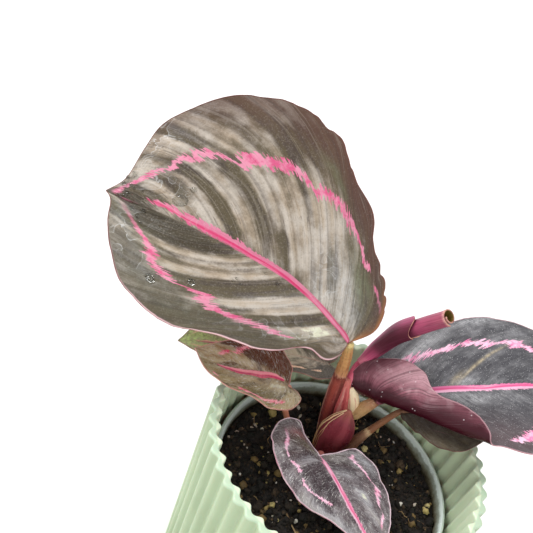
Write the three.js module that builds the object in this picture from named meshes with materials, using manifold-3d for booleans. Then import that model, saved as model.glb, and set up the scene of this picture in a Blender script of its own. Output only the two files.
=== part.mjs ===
// Potted calathea dottie: a patterned foliage plant in a clear nursery pot, inside a ribbed cover pot.
// Millimetres, +Z up. The origin is the middle of the cover pot's flat underside.
// Each leaf is laid out flat, as half widths to either side of its midrib, and then folded along the
// midrib, arched towards its tip and turned into its place above the pot.

import * as THREE from 'three';
import Module from 'manifold-3d';

// Driving dimensions
const GAP = 0.3;                  // clear space between touching pieces
const COVER = { height: 96, radius: 51.6, lean: 0.0645, wall: 2.9, floor: 3, ribs: 48, ribDepth: 0.9 };
const RIB_SAMPLES = 6;            // columns of the wall in one rib
const NURSERY = {
  foot: 33, wall: 1.1, shoulder: 43.6, lipRadius: 44.9, lipHeight: 3.2, top: 76.6,
  holes: 6, holeRadius: 3, holeCircle: 21,
};
const ROUND = 48;                 // sides of a round piece
const SOIL = { top: 72, relief: 0.9, rings: 12 };
const CROWN = { centre: [-4, 15], radius: 12, bottom: 58, top: 73.2 };
const BLADE = 0.6;                // thickness of a leaf blade
const LIMB_SIDES = 10;
const LIMB_STEP = 3.2;            // length of one step along a stalk

// A leaf's heading is the way it points, in degrees from +X towards +Y, rise lifts its tip and roll
// lifts its left side, seen from above with the tip ahead. bow moves the midrib sideways, arch is the
// midrib's bend in radians a millimetre, and the folds lift each side at the base and at the tip.
// left and right are outline points from base to tip: distance along the leaf, half width.
const LEAVES = {
  main: {
    base: [-16.5, 21.2, 122], heading: 177, rise: 12, roll: -31, length: 104,
    bow: -6, lean: 0.6, arch: 0.004, foldLeft: [24, 17], foldRight: [20, 14], valley: 4, wave: 0.8,
    right: [[-5, 8], [-4, 16], [0, 22], [7, 25.5], [13, 30], [18, 37], [28, 42], [36, 48.5], [45, 54],
      [56, 55.5], [68, 55], [80, 50.5], [91, 40.5], [98, 31], [99.5, 20], [100, 8]],
    left: [[1, 8], [5, 15], [13, 18], [21, 27], [31, 32.5], [42, 36], [53, 39.5], [64, 39], [75, 34],
      [86, 23.5], [95, 12], [100, 3]],
    stations: 28, stepsLeft: 7, stepsRight: 8,
  },
  left: {
    base: [-29, 11, 100], heading: 190, rise: 11, roll: -4, length: 37,
    arch: 0.004, foldLeft: [16, 8], foldRight: [16, 8], valley: 2, wave: 0.3,
    right: [[0, 3], [1, 8], [6, 12], [14, 14], [22, 10.5], [31, 4.5]],
    left: [[-4, 1], [-5, 5], [-1, 12], [5, 15.5], [14, 14], [24, 12.5], [32, 8]],
    stations: 16, stepsLeft: 5, stepsRight: 5,
  },
  front: {
    base: [-8.8, -2, 88], heading: -37, rise: -3, roll: 0, length: 41,
    arch: 0.004, foldLeft: [10, 6], foldRight: [20, 6], valley: 2, wave: 0.4,
    right: [[-9, 0.5], [-16, 2], [-17, 9], [-10, 19], [-2, 24], [7, 25], [15, 21], [23, 13], [31, 7]],
    left: [[2, 6], [4, 13], [11, 16], [20, 15], [29, 12], [36, 6]],
    stations: 18, stepsLeft: 5, stepsRight: 6,
  },
  right: {
    base: [3, 25, 98], heading: 26, rise: 24, roll: 0, length: 88,
    arch: 0.006, foldLeft: [8, 6], foldRight: [8, 6], valley: 3, wave: 0.6,
    curl: { point: [0, -4], angle: 149, radius: 3, turn: 150 },
    right: [[-8, 2], [-14.5, 9], [-14.5, 21], [-7, 28], [1, 28], [10, 26], [20, 31], [29, 30], [38, 27],
      [50, 32], [64, 28], [77, 16]],
    left: [[-4, 5], [-3, 13], [8, 20], [22, 26], [38, 31], [55, 31], [70, 27], [81, 14]],
    stations: 26, stepsLeft: 6, stepsRight: 12,
  },
  lower: {
    base: [14, 27, 96], heading: 5, rise: 24, roll: 0, length: 36,
    arch: 0.008, foldLeft: [8, 8], foldRight: [8, 8], valley: 3, wave: 0.3,
    right: [[0, 3], [3, 7], [8, 12], [15, 17], [22, 17.5], [29, 11]],
    left: [[0, 6], [6, 10], [14, 12], [24, 11], [32, 5]],
    stations: 14, stepsLeft: 4, stepsRight: 5,
  },
  rear: {
    base: [-17, 35.3, 94.5], heading: -155, rise: 14, roll: -3, length: 61,
    arch: 0.006, foldLeft: [14, 10], foldRight: [18, 10], valley: 3, wave: 0.3,
    right: [[-4, 4], [-2, 11], [8, 17], [22, 20], [36, 18.5], [50, 11]],
    left: [[-3, 4], [3, 9], [9, 10.5], [18, 9.5], [30, 10], [42, 10], [53, 6]],
    stations: 16, stepsLeft: 4, stepsRight: 5,
  },
};
const VEIN_CROWDING = 2;          // how closely the veins leave the midrib near the base

// Stalks: points up the middle, and the radius at each of them. A pair is a flattened section,
// across and through, as wide as the sheath that wraps the stems.
const ROOT = 66;                  // how deep the stalks stand in the crown
const STALKS = {
  main: {
    points: [[-7.2, 19, ROOT], [-7.5, 19.3, 72], [-9, 20, 79], [-11, 20.8, 88], [-12.4, 21.8, 97],
      [-13.5, 22.5, 106], [-14.6, 22.4, 114], [-16.3, 21.4, 121]],
    radii: [2.9, 3, 2.9, 2.8, 2.6, 2.3, 1.9, 1.7],
  },
  right: {
    points: [[-2.2, 19.4, ROOT], [-2.2, 19.5, 72], [-3, 21.3, 79], [-4, 23.1, 86], [-4.6, 24, 92],
      [-7.1, 24.7, 97], [-9.2, 25, 101]],
    radii: [2.4, 2.5, 2.6, 2.6, 2.5, 2, 0.8],
  },
  rightNeck: {
    points: [[-4.2, 22.6, 85], [-3, 22.5, 88], [-1, 22.9, 91], [1, 24, 94.4], [2.4, 24.7, 96.9]],
    radii: [1.8, 2.2, 2.3, 2.2, 1.9],
  },
  left: {
    points: [[-10.8, 12.5, ROOT], [-11.2, 12.5, 72], [-17, 11.5, 77], [-23, 11.5, 82], [-26.5, 11.5, 88],
      [-28.5, 11.4, 95], [-28.9, 11, 99.1]],
    radii: [1.2, 1.2, 1.1, 1.05, 1, 1, 1.1],
  },
  front: {
    points: [[-5.2, 7.8, ROOT], [-5.6, 7.4, 72], [-6.8, 4.6, 78], [-8.5, -0.8, 86.9]],
    radii: [1.4, 1.4, 1.3, 1.3],
  },
  lower: {
    points: [[2.6, 17.3, ROOT], [2.6, 17.5, 72], [3.6, 19.6, 77], [6.8, 22.2, 84.5], [10.2, 24.7, 90.5],
      [13.4, 26.6, 95.2]],
    radii: [1.8, 1.8, 1.8, 1.5, 1.2, 1.2],
  },
  rear: {
    points: [[-5, 23.2, ROOT], [-5, 23.3, 72], [-7, 26, 79], [-10, 29, 86], [-13.5, 32.7, 91],
      [-16.4, 35.1, 93.2]],
    radii: [1.2, 1.2, 1.1, 1, 1, 1],
  },
  sheath: {
    points: [[-4.4, 13.2, ROOT], [-4.4, 13.4, 72], [-5.4, 13.4, 79.5], [-6.2, 13.2, 87.5], [-6.7, 13.3, 94],
      [-7, 13.2, 98.5]],
    radii: [[3.2, 2.4], [4.4, 2.8], [5.6, 3.2], [5.4, 3], [3.4, 2.2], [0.6, 0.5]],
  },
  rolled: {
    points: [[-7.3, 22.8, 91.5], [-8, 25, 98.5], [-8.3, 28.8, 104], [-7.2, 31, 108]],
    radii: [1.1, 1.4, 1.8, 1.9],
  },
};

// The rolled young leaf: a sheet wound round its own middle line, whose outer turn ends part way up.
const ROLL = {
  points: [[-7.6, 30.2, 106.6], [-6.2, 32, 110], [-3.5, 34.2, 116], [-0.1, 34.8, 124.5], [5.1, 33.2, 134],
    [10.7, 31, 144]],
  sheet: 0.6, pitch: 0.95, inner: 1.4, innerTurns: 1.25, turns: 2.1, wrapEnd: 0.62, start: 0.6, step: 4.5,
};

const COLOURS = {
  mint: 0xc3dcbc, clear: 0xdde3e2, soil: 0x2b2420, crown: 0x5a3a2c, blade: 0x5f5a4e, bladeDark: 0x4a4749,
  bladeRed: 0x6b4a35, stalkRed: 0x7a3a2e, stalkPink: 0xa4433f, stalkOrange: 0xb3714f, stalkGreen: 0xb9b98a,
  sheath: 0x5a1f2c, roll: 0x8f3f5c,
};

const wasm = await Module();
wasm.setup();

// Solids from plain lists of points and triangles

function geometryOf(points, triangles) {
  const geometry = new THREE.BufferGeometry();
  geometry.setAttribute('position', new THREE.Float32BufferAttribute(points.flat(), 3));
  geometry.setIndex(triangles.flat());
  return geometry;
}

function solidOf(geometry) {
  return new wasm.Manifold(new wasm.Mesh({
    numProp: 3,
    vertProperties: new Float32Array(geometry.attributes.position.array),
    triVerts: new Uint32Array(geometry.index.array),
  }));
}

function geometryFromSolid(solid) {
  const mesh = solid.getMesh();
  const geometry = new THREE.BufferGeometry();
  geometry.setAttribute('position', new THREE.BufferAttribute(new Float32Array(mesh.vertProperties), 3));
  geometry.setIndex(new THREE.BufferAttribute(new Uint32Array(mesh.triVerts), 1));
  return geometry;
}

function cut(geometry, tools) {
  let solid = solidOf(geometry);
  for (const tool of tools) solid = solid.subtract(solidOf(tool));
  return geometryFromSolid(solid);
}

function join(geometries) {
  let solid = solidOf(geometries[0]);
  for (const other of geometries.slice(1)) solid = solid.add(solidOf(other));
  return geometryFromSolid(solid);
}

// A closed body from rings of equal count, each joined to the next, with a fan over both ends.
function ringBody(rings, startPoint, endPoint) {
  const count = rings[0].length;
  const points = [startPoint, ...rings.flat(), endPoint];
  const triangles = [];
  const at = (ring, k) => 1 + ring * count + (k % count);
  const last = points.length - 1;
  for (let k = 0; k < count; k++) {
    triangles.push([0, at(0, k + 1), at(0, k)]);
    for (let ring = 0; ring + 1 < rings.length; ring++) {
      triangles.push([at(ring, k), at(ring, k + 1), at(ring + 1, k + 1)]);
      triangles.push([at(ring, k), at(ring + 1, k + 1), at(ring + 1, k)]);
    }
    triangles.push([last, at(rings.length - 1, k), at(rings.length - 1, k + 1)]);
  }
  return geometryOf(points, triangles);
}

// A body turned round +Z. The radius may depend on the angle, and so may the height.
function turned(profile, count, centre = [0, 0]) {
  const rings = profile.slice(1, -1).map(([radius, height]) => {
    const ring = [];
    for (let k = 0; k < count; k++) {
      const angle = 2 * Math.PI * k / count;
      const r = typeof radius === 'function' ? radius(angle) : radius;
      const x = centre[0] + r * Math.cos(angle);
      const y = centre[1] + r * Math.sin(angle);
      ring.push([x, y, typeof height === 'function' ? height(x, y) : height]);
    }
    return ring;
  });
  const axisPoint = ([, height]) => [
    ...centre, typeof height === 'function' ? height(...centre) : height];
  return ringBody(rings, axisPoint(profile[0]), axisPoint(profile.at(-1)));
}

// Pots and soil

function coverPot() {
  const wave = angle => COVER.ribDepth * Math.cos(COVER.ribs * angle);
  const outer = height => angle => COVER.radius - COVER.lean * (COVER.height - height) + wave(angle);
  const inner = height => angle => outer(height)(angle) - COVER.wall;
  return turned([
    [0, 0],
    [outer(0), 0],
    [outer(COVER.height), COVER.height],
    [inner(COVER.height), COVER.height],
    [inner(COVER.floor), COVER.floor],
    [0, COVER.floor],
  ], COVER.ribs * RIB_SAMPLES);
}

const NURSERY_FOOT = COVER.floor + GAP;
const NURSERY_FLOOR = NURSERY_FOOT + NURSERY.wall;
const SHOULDER_HEIGHT = NURSERY.top - NURSERY.lipHeight;

function nurseryInside(height) {
  const share = (height - NURSERY_FOOT) / (SHOULDER_HEIGHT - NURSERY_FOOT);
  return NURSERY.foot + (NURSERY.shoulder - NURSERY.foot) * share - NURSERY.wall;
}

function nurseryPot() {
  const body = turned([
    [0, NURSERY_FOOT],
    [NURSERY.foot, NURSERY_FOOT],
    [NURSERY.shoulder, SHOULDER_HEIGHT],
    [NURSERY.lipRadius, SHOULDER_HEIGHT],
    [NURSERY.lipRadius, NURSERY.top],
    [nurseryInside(NURSERY.top), NURSERY.top],
    [nurseryInside(NURSERY_FLOOR), NURSERY_FLOOR],
    [0, NURSERY_FLOOR],
  ], ROUND);
  const drains = [];
  for (let k = 0; k < NURSERY.holes; k++) {
    const angle = 2 * Math.PI * k / NURSERY.holes;
    const centre = [NURSERY.holeCircle * Math.cos(angle), NURSERY.holeCircle * Math.sin(angle)];
    const low = NURSERY_FOOT - 1;
    const high = NURSERY_FLOOR + 1;
    drains.push(turned([[0, low], [NURSERY.holeRadius, low], [NURSERY.holeRadius, high], [0, high]], 12, centre));
  }
  return cut(body, drains);
}

function soilHeight(x, y) {
  const lumps = Math.sin(0.62 * x + 1.3) * Math.sin(0.71 * y + 0.4) + 0.6 * Math.sin(0.33 * x - 0.47 * y + 2);
  return SOIL.top + SOIL.relief * lumps / 1.6;
}

function crown() {
  const height = CROWN.top - CROWN.bottom;
  const profile = [[0, CROWN.bottom]];
  for (const [share, up] of [[0.55, 0.04], [0.85, 0.2], [1, 0.5], [0.97, 0.8], [0.75, 0.95]]) {
    profile.push([CROWN.radius * share, CROWN.bottom + height * up]);
  }
  profile.push([0, CROWN.top]);
  return profile;
}

function crownLump(grow) {
  const profile = crown().map(([radius, height], k, all) => {
    if (k === 0) return [0, height - grow];
    if (k === all.length - 1) return [0, height + grow];
    return [radius + grow * 1.2, height];
  });
  return turned(profile, 24, CROWN.centre);
}

function soil() {
  const low = NURSERY_FLOOR + GAP;
  const edge = nurseryInside(SOIL.top) - 1.5 * GAP;
  const profile = [[0, low], [nurseryInside(low) - 1.5 * GAP, low]];
  for (let ring = SOIL.rings; ring > 0; ring--) {
    profile.push([edge * ring / SOIL.rings, soilHeight]);
  }
  profile.push([0, soilHeight]);
  const hole = turned([
    [0, CROWN.bottom - GAP],
    [CROWN.radius + 2 * GAP, CROWN.bottom - GAP],
    [CROWN.radius + 2 * GAP, SOIL.top + 5],
    [0, SOIL.top + 5],
  ], 24, CROWN.centre);
  return cut(turned(profile, ROUND), [hole]);
}

// Leaf blades

function leafFrame(leaf) {
  const [heading, rise, roll] = [leaf.heading, leaf.rise, leaf.roll].map(THREE.MathUtils.degToRad);
  const along = new THREE.Vector3(
    Math.cos(rise) * Math.cos(heading), Math.cos(rise) * Math.sin(heading), Math.sin(rise));
  const level = new THREE.Vector3(0, 0, 1).cross(along).normalize();
  const up = along.clone().cross(level);
  const across = level.multiplyScalar(Math.cos(roll)).addScaledVector(up, Math.sin(roll));
  return { along, across, normal: along.clone().cross(across) };
}

// Rolls the part of the flat sheet beyond a line up and over, round a cylinder that touches the line.
function curled(curl, a, b, height) {
  const angle = THREE.MathUtils.degToRad(curl.angle);
  const turn = THREE.MathUtils.degToRad(curl.turn);
  const [dx, dy] = [Math.cos(angle), Math.sin(angle)];
  const [x, y] = [a - curl.point[0], b - curl.point[1]];
  const run = x * dx + y * dy;
  const past = -x * dy + y * dx;
  if (past <= 0) return [a, b, height];
  const bend = Math.min(past / curl.radius, turn);
  const rest = Math.max(past - curl.radius * turn, 0);
  const reach = curl.radius * Math.sin(bend) + rest * Math.cos(turn) - height * Math.sin(bend);
  const lift = curl.radius * (1 - Math.cos(bend)) + rest * Math.sin(turn) + height * Math.cos(bend);
  return [curl.point[0] + run * dx - reach * dy, curl.point[1] + run * dy + reach * dx, lift];
}

// From the flat leaf to its place: a along the midrib, b across it (left is +), height off the sheet.
function place(leaf, frame, a, b, height) {
  if (leaf.curl) [a, b, height] = curled(leaf.curl, a, b, height);
  const share = THREE.MathUtils.clamp(a / leaf.length, 0, 1);
  const [foldBase, foldTip] = b > 0 ? leaf.foldLeft : leaf.foldRight;
  const fold = THREE.MathUtils.degToRad(foldBase + (foldTip - foldBase) * share);
  const root = Math.hypot(b, leaf.valley);
  const spread = root - leaf.valley;
  const slope = -Math.sin(fold) * b / root;
  const side = b - Math.sign(b) * spread * (1 - Math.cos(fold)) + slope * height;
  const lift = spread * Math.sin(fold) + Math.sqrt(1 - slope * slope) * height;
  const midrib = (leaf.bow || 0) * Math.sin(Math.PI * share ** (leaf.lean || 1));
  const turn = leaf.arch * a;
  const x = Math.sin(turn) / leaf.arch + lift * Math.sin(turn);
  const z = (Math.cos(turn) - 1) / leaf.arch + lift * Math.cos(turn);
  return new THREE.Vector3(...leaf.base)
    .addScaledVector(frame.along, x)
    .addScaledVector(frame.across, side + midrib)
    .addScaledVector(frame.normal, z)
    .toArray();
}

// A point of the flat leaf by vein and by share of the way from the midrib to the margin. Veins leave
// the midrib close together near the base, and curve forward as they near the margin.
function onVein(leaf, outline, s, v) {
  const margin = outline.getPoint(s);
  const start = leaf.length * s ** VEIN_CROWDING;
  const bendA = start + 0.25 * (margin.x - start);
  const bendW = 0.65 * margin.y;
  return [
    (1 - v) ** 2 * start + 2 * v * (1 - v) * bendA + v * v * margin.x,
    2 * v * (1 - v) * bendW + v * v * margin.y,
  ];
}

function blade(leaf, thickness = BLADE) {
  const frame = leafFrame(leaf);
  const outlineOf = side => new THREE.SplineCurve(
    [[0, 0], ...side, [leaf.length, 0]].map(([a, w]) => new THREE.Vector2(a, w)));
  const outlines = { left: outlineOf(leaf.left), right: outlineOf(leaf.right) };
  const vertex = (s, side, v, height) => {
    const [a, w] = onVein(leaf, outlines[side], s, v);
    const wave = leaf.wave * v * v * Math.sin(10 * Math.PI * s) * Math.sin(Math.PI * s);
    return place(leaf, frame, a, side === 'left' ? w : -w, wave + height);
  };
  const columns = [];
  for (let k = leaf.stepsRight; k > 0; k--) columns.push(['right', k / leaf.stepsRight]);
  for (let k = 0; k <= leaf.stepsLeft; k++) columns.push(['left', k / leaf.stepsLeft]);
  const points = [];
  for (const height of [thickness / 2, -thickness / 2]) {
    points.push(vertex(0, 'left', 0, height));
    for (let row = 1; row < leaf.stations; row++) {
      for (const [side, v] of columns) points.push(vertex(row / leaf.stations, side, v, height));
    }
    points.push(vertex(1, 'left', 0, height));
  }
  const width = columns.length;
  const rows = leaf.stations - 1;
  const sheet = points.length / 2;
  const at = (row, column) => 1 + row * width + column;
  const upper = [];
  for (let column = 0; column + 1 < width; column++) {
    upper.push([0, at(0, column), at(0, column + 1)]);
    for (let row = 0; row + 1 < rows; row++) {
      upper.push([at(row, column), at(row + 1, column), at(row + 1, column + 1)]);
      upper.push([at(row, column), at(row + 1, column + 1), at(row, column + 1)]);
    }
    upper.push([at(rows - 1, column), sheet - 1, at(rows - 1, column + 1)]);
  }
  const rim = [0];
  for (let row = 0; row < rows; row++) rim.push(at(row, 0));
  rim.push(sheet - 1);
  for (let row = rows - 1; row >= 0; row--) rim.push(at(row, width - 1));
  const triangles = [...upper, ...upper.map(([p, q, r]) => [sheet + p, sheet + r, sheet + q])];
  rim.forEach((p, k) => {
    const q = rim[(k + 1) % rim.length];
    triangles.push([p, sheet + p, sheet + q], [p, sheet + q, q]);
  });
  return geometryOf(points, triangles);
}

// Stalks and sheaths

function limb(stalk, grow = 0) {
  const route = new THREE.CatmullRomCurve3(stalk.points.map(p => new THREE.Vector3(...p)), false, 'centripetal');
  const steps = Math.ceil(route.getLength() / LIMB_STEP);
  const rings = [];
  for (let k = 0; k <= steps; k++) {
    const t = k / steps;
    const ahead = route.getTangent(t);
    const shift = k === 0 ? -grow : k === steps ? grow : 0;
    const centre = route.getPoint(t).addScaledVector(ahead, shift);
    const across = new THREE.Vector3(1, 0, 0).addScaledVector(ahead, -ahead.x).normalize();
    const through = ahead.clone().cross(across);
    const place = t * (stalk.radii.length - 1);
    const before = Math.min(Math.floor(place), stalk.radii.length - 2);
    const [low, high] = [before, before + 1].map(j => [stalk.radii[j]].flat());
    const radius = n => THREE.MathUtils.lerp(low[n] ?? low[0], high[n] ?? high[0], place - before) + grow;
    const ring = [];
    for (let j = 0; j < LIMB_SIDES; j++) {
      const angle = 2 * Math.PI * j / LIMB_SIDES;
      ring.push(centre.clone()
        .addScaledVector(across, radius(0) * Math.cos(angle))
        .addScaledVector(through, radius(1) * Math.sin(angle))
        .toArray());
    }
    rings.push(ring);
  }
  const start = route.getPoint(0).addScaledVector(route.getTangent(0), -grow).toArray();
  const end = route.getPoint(1).addScaledVector(route.getTangent(1), grow).toArray();
  return ringBody(rings, start, end);
}

// The section of a rolled sheet between two turns, as a closed outline of points in the plane.
function rollSection(fromTurn, toTurn) {
  const count = Math.ceil((toTurn - fromTurn) * 11);
  const outside = [];
  const inside = [];
  for (let k = 0; k <= count; k++) {
    const turn = fromTurn + (toTurn - fromTurn) * k / count;
    const angle = 2 * Math.PI * (turn + ROLL.start);
    const radius = ROLL.inner + ROLL.pitch * turn;
    outside.push([(radius + ROLL.sheet / 2) * Math.cos(angle), (radius + ROLL.sheet / 2) * Math.sin(angle)]);
    inside.push([(radius - ROLL.sheet / 2) * Math.cos(angle), (radius - ROLL.sheet / 2) * Math.sin(angle)]);
  }
  return new THREE.Shape([...outside, ...inside.reverse()].map(([x, y]) => new THREE.Vector2(x, y)));
}

// A section carried along part of the rolled leaf's middle line.
function rollAlong(section, from, to) {
  const route = new THREE.CatmullRomCurve3(ROLL.points.map(p => new THREE.Vector3(...p)), false, 'centripetal');
  const { shape: outline } = section.extractPoints(1);
  const faces = THREE.ShapeUtils.triangulateShape(outline, []);
  const steps = Math.ceil(route.getLength() * (to - from) / ROLL.step);
  const points = [];
  for (let k = 0; k <= steps; k++) {
    const t = from + (to - from) * k / steps;
    const centre = route.getPointAt(t);
    const ahead = route.getTangentAt(t);
    const across = new THREE.Vector3(1, 0, 0).addScaledVector(ahead, -ahead.x).normalize();
    const through = ahead.clone().cross(across);
    for (const { x, y } of outline) {
      points.push(centre.clone().addScaledVector(across, x).addScaledVector(through, y).toArray());
    }
  }
  const count = outline.length;
  const last = steps * count;
  const triangles = [];
  for (const [p, q, r] of faces) triangles.push([p, r, q], [last + p, last + q, last + r]);
  for (let k = 0; k < steps; k++) {
    for (let j = 0; j < count; j++) {
      const [p, q] = [k * count + j, k * count + (j + 1) % count];
      triangles.push([p, q, q + count], [p, q + count, p + count]);
    }
  }
  return geometryOf(points, triangles);
}

function rolledLeaf() {
  return join([
    rollAlong(rollSection(0, ROLL.innerTurns), 0, 1),
    rollAlong(rollSection(ROLL.innerTurns - 0.1, ROLL.turns), 0, ROLL.wrapEnd),
    limb(STALKS.rolled),
  ]);
}

// The plant

const plant = new THREE.Group();

function add(name, geometry, colour, roughness, transparent = false) {
  const material = new THREE.MeshStandardMaterial({ color: colour, roughness, metalness: 0 });
  if (transparent) Object.assign(material, { transparent: true, opacity: 0.5 });
  const mesh = new THREE.Mesh(geometry, material);
  mesh.name = name;
  plant.add(mesh);
}

const stalk = (name, grow) => limb(STALKS[name], grow);

// The room a blade needs where its stalk ends: the blade itself and the blade moved back a little.
function bladeRoom(name) {
  const leaf = LEAVES[name];
  return [0, -0.6].map(back => {
    const base = new THREE.Vector3(...leaf.base).addScaledVector(leafFrame(leaf).along, back);
    return blade({ ...leaf, base: base.toArray() }, BLADE + 2 * GAP);
  });
}

const rightStalk = join([stalk('right'), stalk('rightNeck')]);
const rightRoom = join([stalk('right', GAP), stalk('rightNeck', GAP)]);
const inCrown = ['main', 'left', 'front', 'lower', 'rear', 'sheath'].map(name => stalk(name, GAP));

add('cover_pot', coverPot(), COLOURS.mint, 0.45);
add('nursery_pot', nurseryPot(), COLOURS.clear, 0.2, true);
add('soil', soil(), COLOURS.soil, 0.95);
add('crown', cut(crownLump(0), [...inCrown, rightRoom]), COLOURS.crown, 0.8);
add('stem_sheath', cut(stalk('sheath'), [stalk('main', GAP), rightRoom, stalk('front', GAP)]),
  COLOURS.sheath, 0.4);
add('main_stalk', cut(stalk('main'), bladeRoom('main')), COLOURS.stalkRed, 0.45);
add('right_stalk', cut(rightStalk, [stalk('main', GAP), stalk('rolled', GAP), ...bladeRoom('right')]),
  COLOURS.stalkPink, 0.45);
add('left_stalk', cut(stalk('left'), bladeRoom('left')), COLOURS.stalkOrange, 0.5);
add('front_stalk', cut(stalk('front'), bladeRoom('front')), COLOURS.stalkRed, 0.5);
add('lower_stalk', cut(stalk('lower'), bladeRoom('lower')), COLOURS.stalkOrange, 0.5);
add('rear_stalk', cut(stalk('rear'), bladeRoom('rear')), COLOURS.stalkGreen, 0.5);
add('rolled_leaf', rolledLeaf(), COLOURS.roll, 0.45);
add('main_leaf', blade(LEAVES.main), COLOURS.blade, 0.4);
add('left_leaf', blade(LEAVES.left), COLOURS.bladeRed, 0.35);
add('front_leaf', blade(LEAVES.front), COLOURS.bladeDark, 0.3);
add('right_leaf', blade(LEAVES.right), COLOURS.bladeDark, 0.35);
add('lower_leaf', blade(LEAVES.lower), COLOURS.blade, 0.4);
add('rear_leaf', blade(LEAVES.rear), COLOURS.blade, 0.4);

export default plant;
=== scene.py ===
import math
import bmesh
import bpy
import numpy as np
from mathutils import Matrix, Vector


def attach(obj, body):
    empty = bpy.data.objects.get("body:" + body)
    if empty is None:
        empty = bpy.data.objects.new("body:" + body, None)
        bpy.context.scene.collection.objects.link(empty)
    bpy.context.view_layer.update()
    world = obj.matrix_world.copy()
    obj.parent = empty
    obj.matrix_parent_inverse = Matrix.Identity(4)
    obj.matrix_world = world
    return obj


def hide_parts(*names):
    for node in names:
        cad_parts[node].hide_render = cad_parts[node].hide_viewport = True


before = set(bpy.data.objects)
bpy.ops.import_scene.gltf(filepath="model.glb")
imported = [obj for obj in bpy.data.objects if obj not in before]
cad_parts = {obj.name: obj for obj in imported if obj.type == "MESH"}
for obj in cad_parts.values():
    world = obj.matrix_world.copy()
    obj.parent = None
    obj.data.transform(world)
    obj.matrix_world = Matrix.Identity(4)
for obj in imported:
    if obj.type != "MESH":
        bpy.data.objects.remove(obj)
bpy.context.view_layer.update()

# Potted calathea dottie. Shapes are worked out in millimetres and written to meshes in metres.
MM = 0.001
CIRCLE = 2 * np.pi


def add_object(name, data):
    obj = bpy.data.objects.new(name, data)
    bpy.context.scene.collection.objects.link(obj)
    return obj


# Camera: the seen side of the plant, from above.
EYE = np.array([-54.15, -259.28, 389.66])
AHEAD = np.array([0.0, 0.74516, -0.66689])
RIGHT = np.array([0.90931, 0.27751, 0.31008])
UP = np.array([-0.41613, 0.60641, 0.67758])
SENSOR = 36.0
FOCAL_PIXELS, FRAME_PIXELS = 1100.0, 533.0
camera_data = bpy.data.cameras.new("camera")
camera_data.sensor_width = SENSOR
camera_data.lens = SENSOR * FOCAL_PIXELS / FRAME_PIXELS
camera_data.clip_start = 0.01
camera = add_object("camera", camera_data)
camera.matrix_world = Matrix([[RIGHT[k], UP[k], -AHEAD[k], EYE[k] * MM] for k in range(3)] + [[0, 0, 0, 1]])
bpy.context.scene.camera = camera


# Numbers: smooth noise, curves and steps

NOISE_CELLS = 64             # the noise repeats after this many cells


def noise2(x, y, seed):
    """Smooth value noise in -1..1, one cell per unit."""
    grid = np.random.default_rng(seed).uniform(-1, 1, (NOISE_CELLS, NOISE_CELLS))
    xi, yi = np.floor(x).astype(int), np.floor(y).astype(int)
    fx, fy = x - xi, y - yi
    fx, fy = fx * fx * (3 - 2 * fx), fy * fy * (3 - 2 * fy)

    def corner(i, j):
        return grid[(xi + i) % NOISE_CELLS, (yi + j) % NOISE_CELLS]

    low = corner(0, 0) * (1 - fx) + corner(1, 0) * fx
    high = corner(0, 1) * (1 - fx) + corner(1, 1) * fx
    return low * (1 - fy) + high * fy


def fractal(x, y, seed, octaves=3):
    """Noise with finer noise on it."""
    total, size = 0, 1.0
    for k in range(octaves):
        total = total + size * noise2(x * 2 ** k, y * 2 ** k, seed + k)
        size *= 0.5
    return total / (2 - 2 * size)


def smooth(x, low, high):
    """0 at low, 1 at high, with soft ends."""
    t = np.clip((x - low) / (high - low), 0, 1)
    return t * t * (3 - 2 * t)


def through(points, x):
    """A smooth curve through (x, y) points."""
    xs = np.array([p[0] for p in points], float)
    ys = np.array([p[1] for p in points], float)
    slopes = np.gradient(ys, xs)
    x = np.clip(x, xs[0], xs[-1])
    i = np.clip(np.searchsorted(xs, x) - 1, 0, len(xs) - 2)
    h = xs[i + 1] - xs[i]
    t = (x - xs[i]) / h
    return ((2 * t ** 3 - 3 * t ** 2 + 1) * ys[i] + (t ** 3 - 2 * t ** 2 + t) * h * slopes[i]
            + (3 * t ** 2 - 2 * t ** 3) * ys[i + 1] + (t ** 3 - t ** 2) * h * slopes[i + 1])


def spline(points, t):
    """Catmull-Rom through points of any dimension, t from 0 to 1."""
    points = np.asarray(points, float)
    n = len(points) - 1
    p = np.clip(t, 0, 1) * n
    i = np.minimum(p.astype(int), n - 1)
    w = (p - i)[..., None]
    p0, p1 = points[np.maximum(i - 1, 0)], points[i]
    p2, p3 = points[np.minimum(i + 1, n)], points[np.minimum(i + 2, n)]
    v0, v1 = (p2 - p0) / 2, (p3 - p1) / 2
    return (2 * p1 - 2 * p2 + v0 + v1) * w ** 3 + (-3 * p1 + 3 * p2 - 2 * v0 - v1) * w ** 2 + v0 * w + p1


SPAN_POINTS = 24             # points worked out between two given ones, before they are spaced evenly
TINY = 1e-6


def knot(before, point, last):
    """The curve's parameter at a point that follows another."""
    return last + max(np.linalg.norm(point - before), TINY) ** 0.5


def between(p, q, start, end, t):
    return (end - t) / (end - start) * p + (t - start) / (end - start) * q


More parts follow.
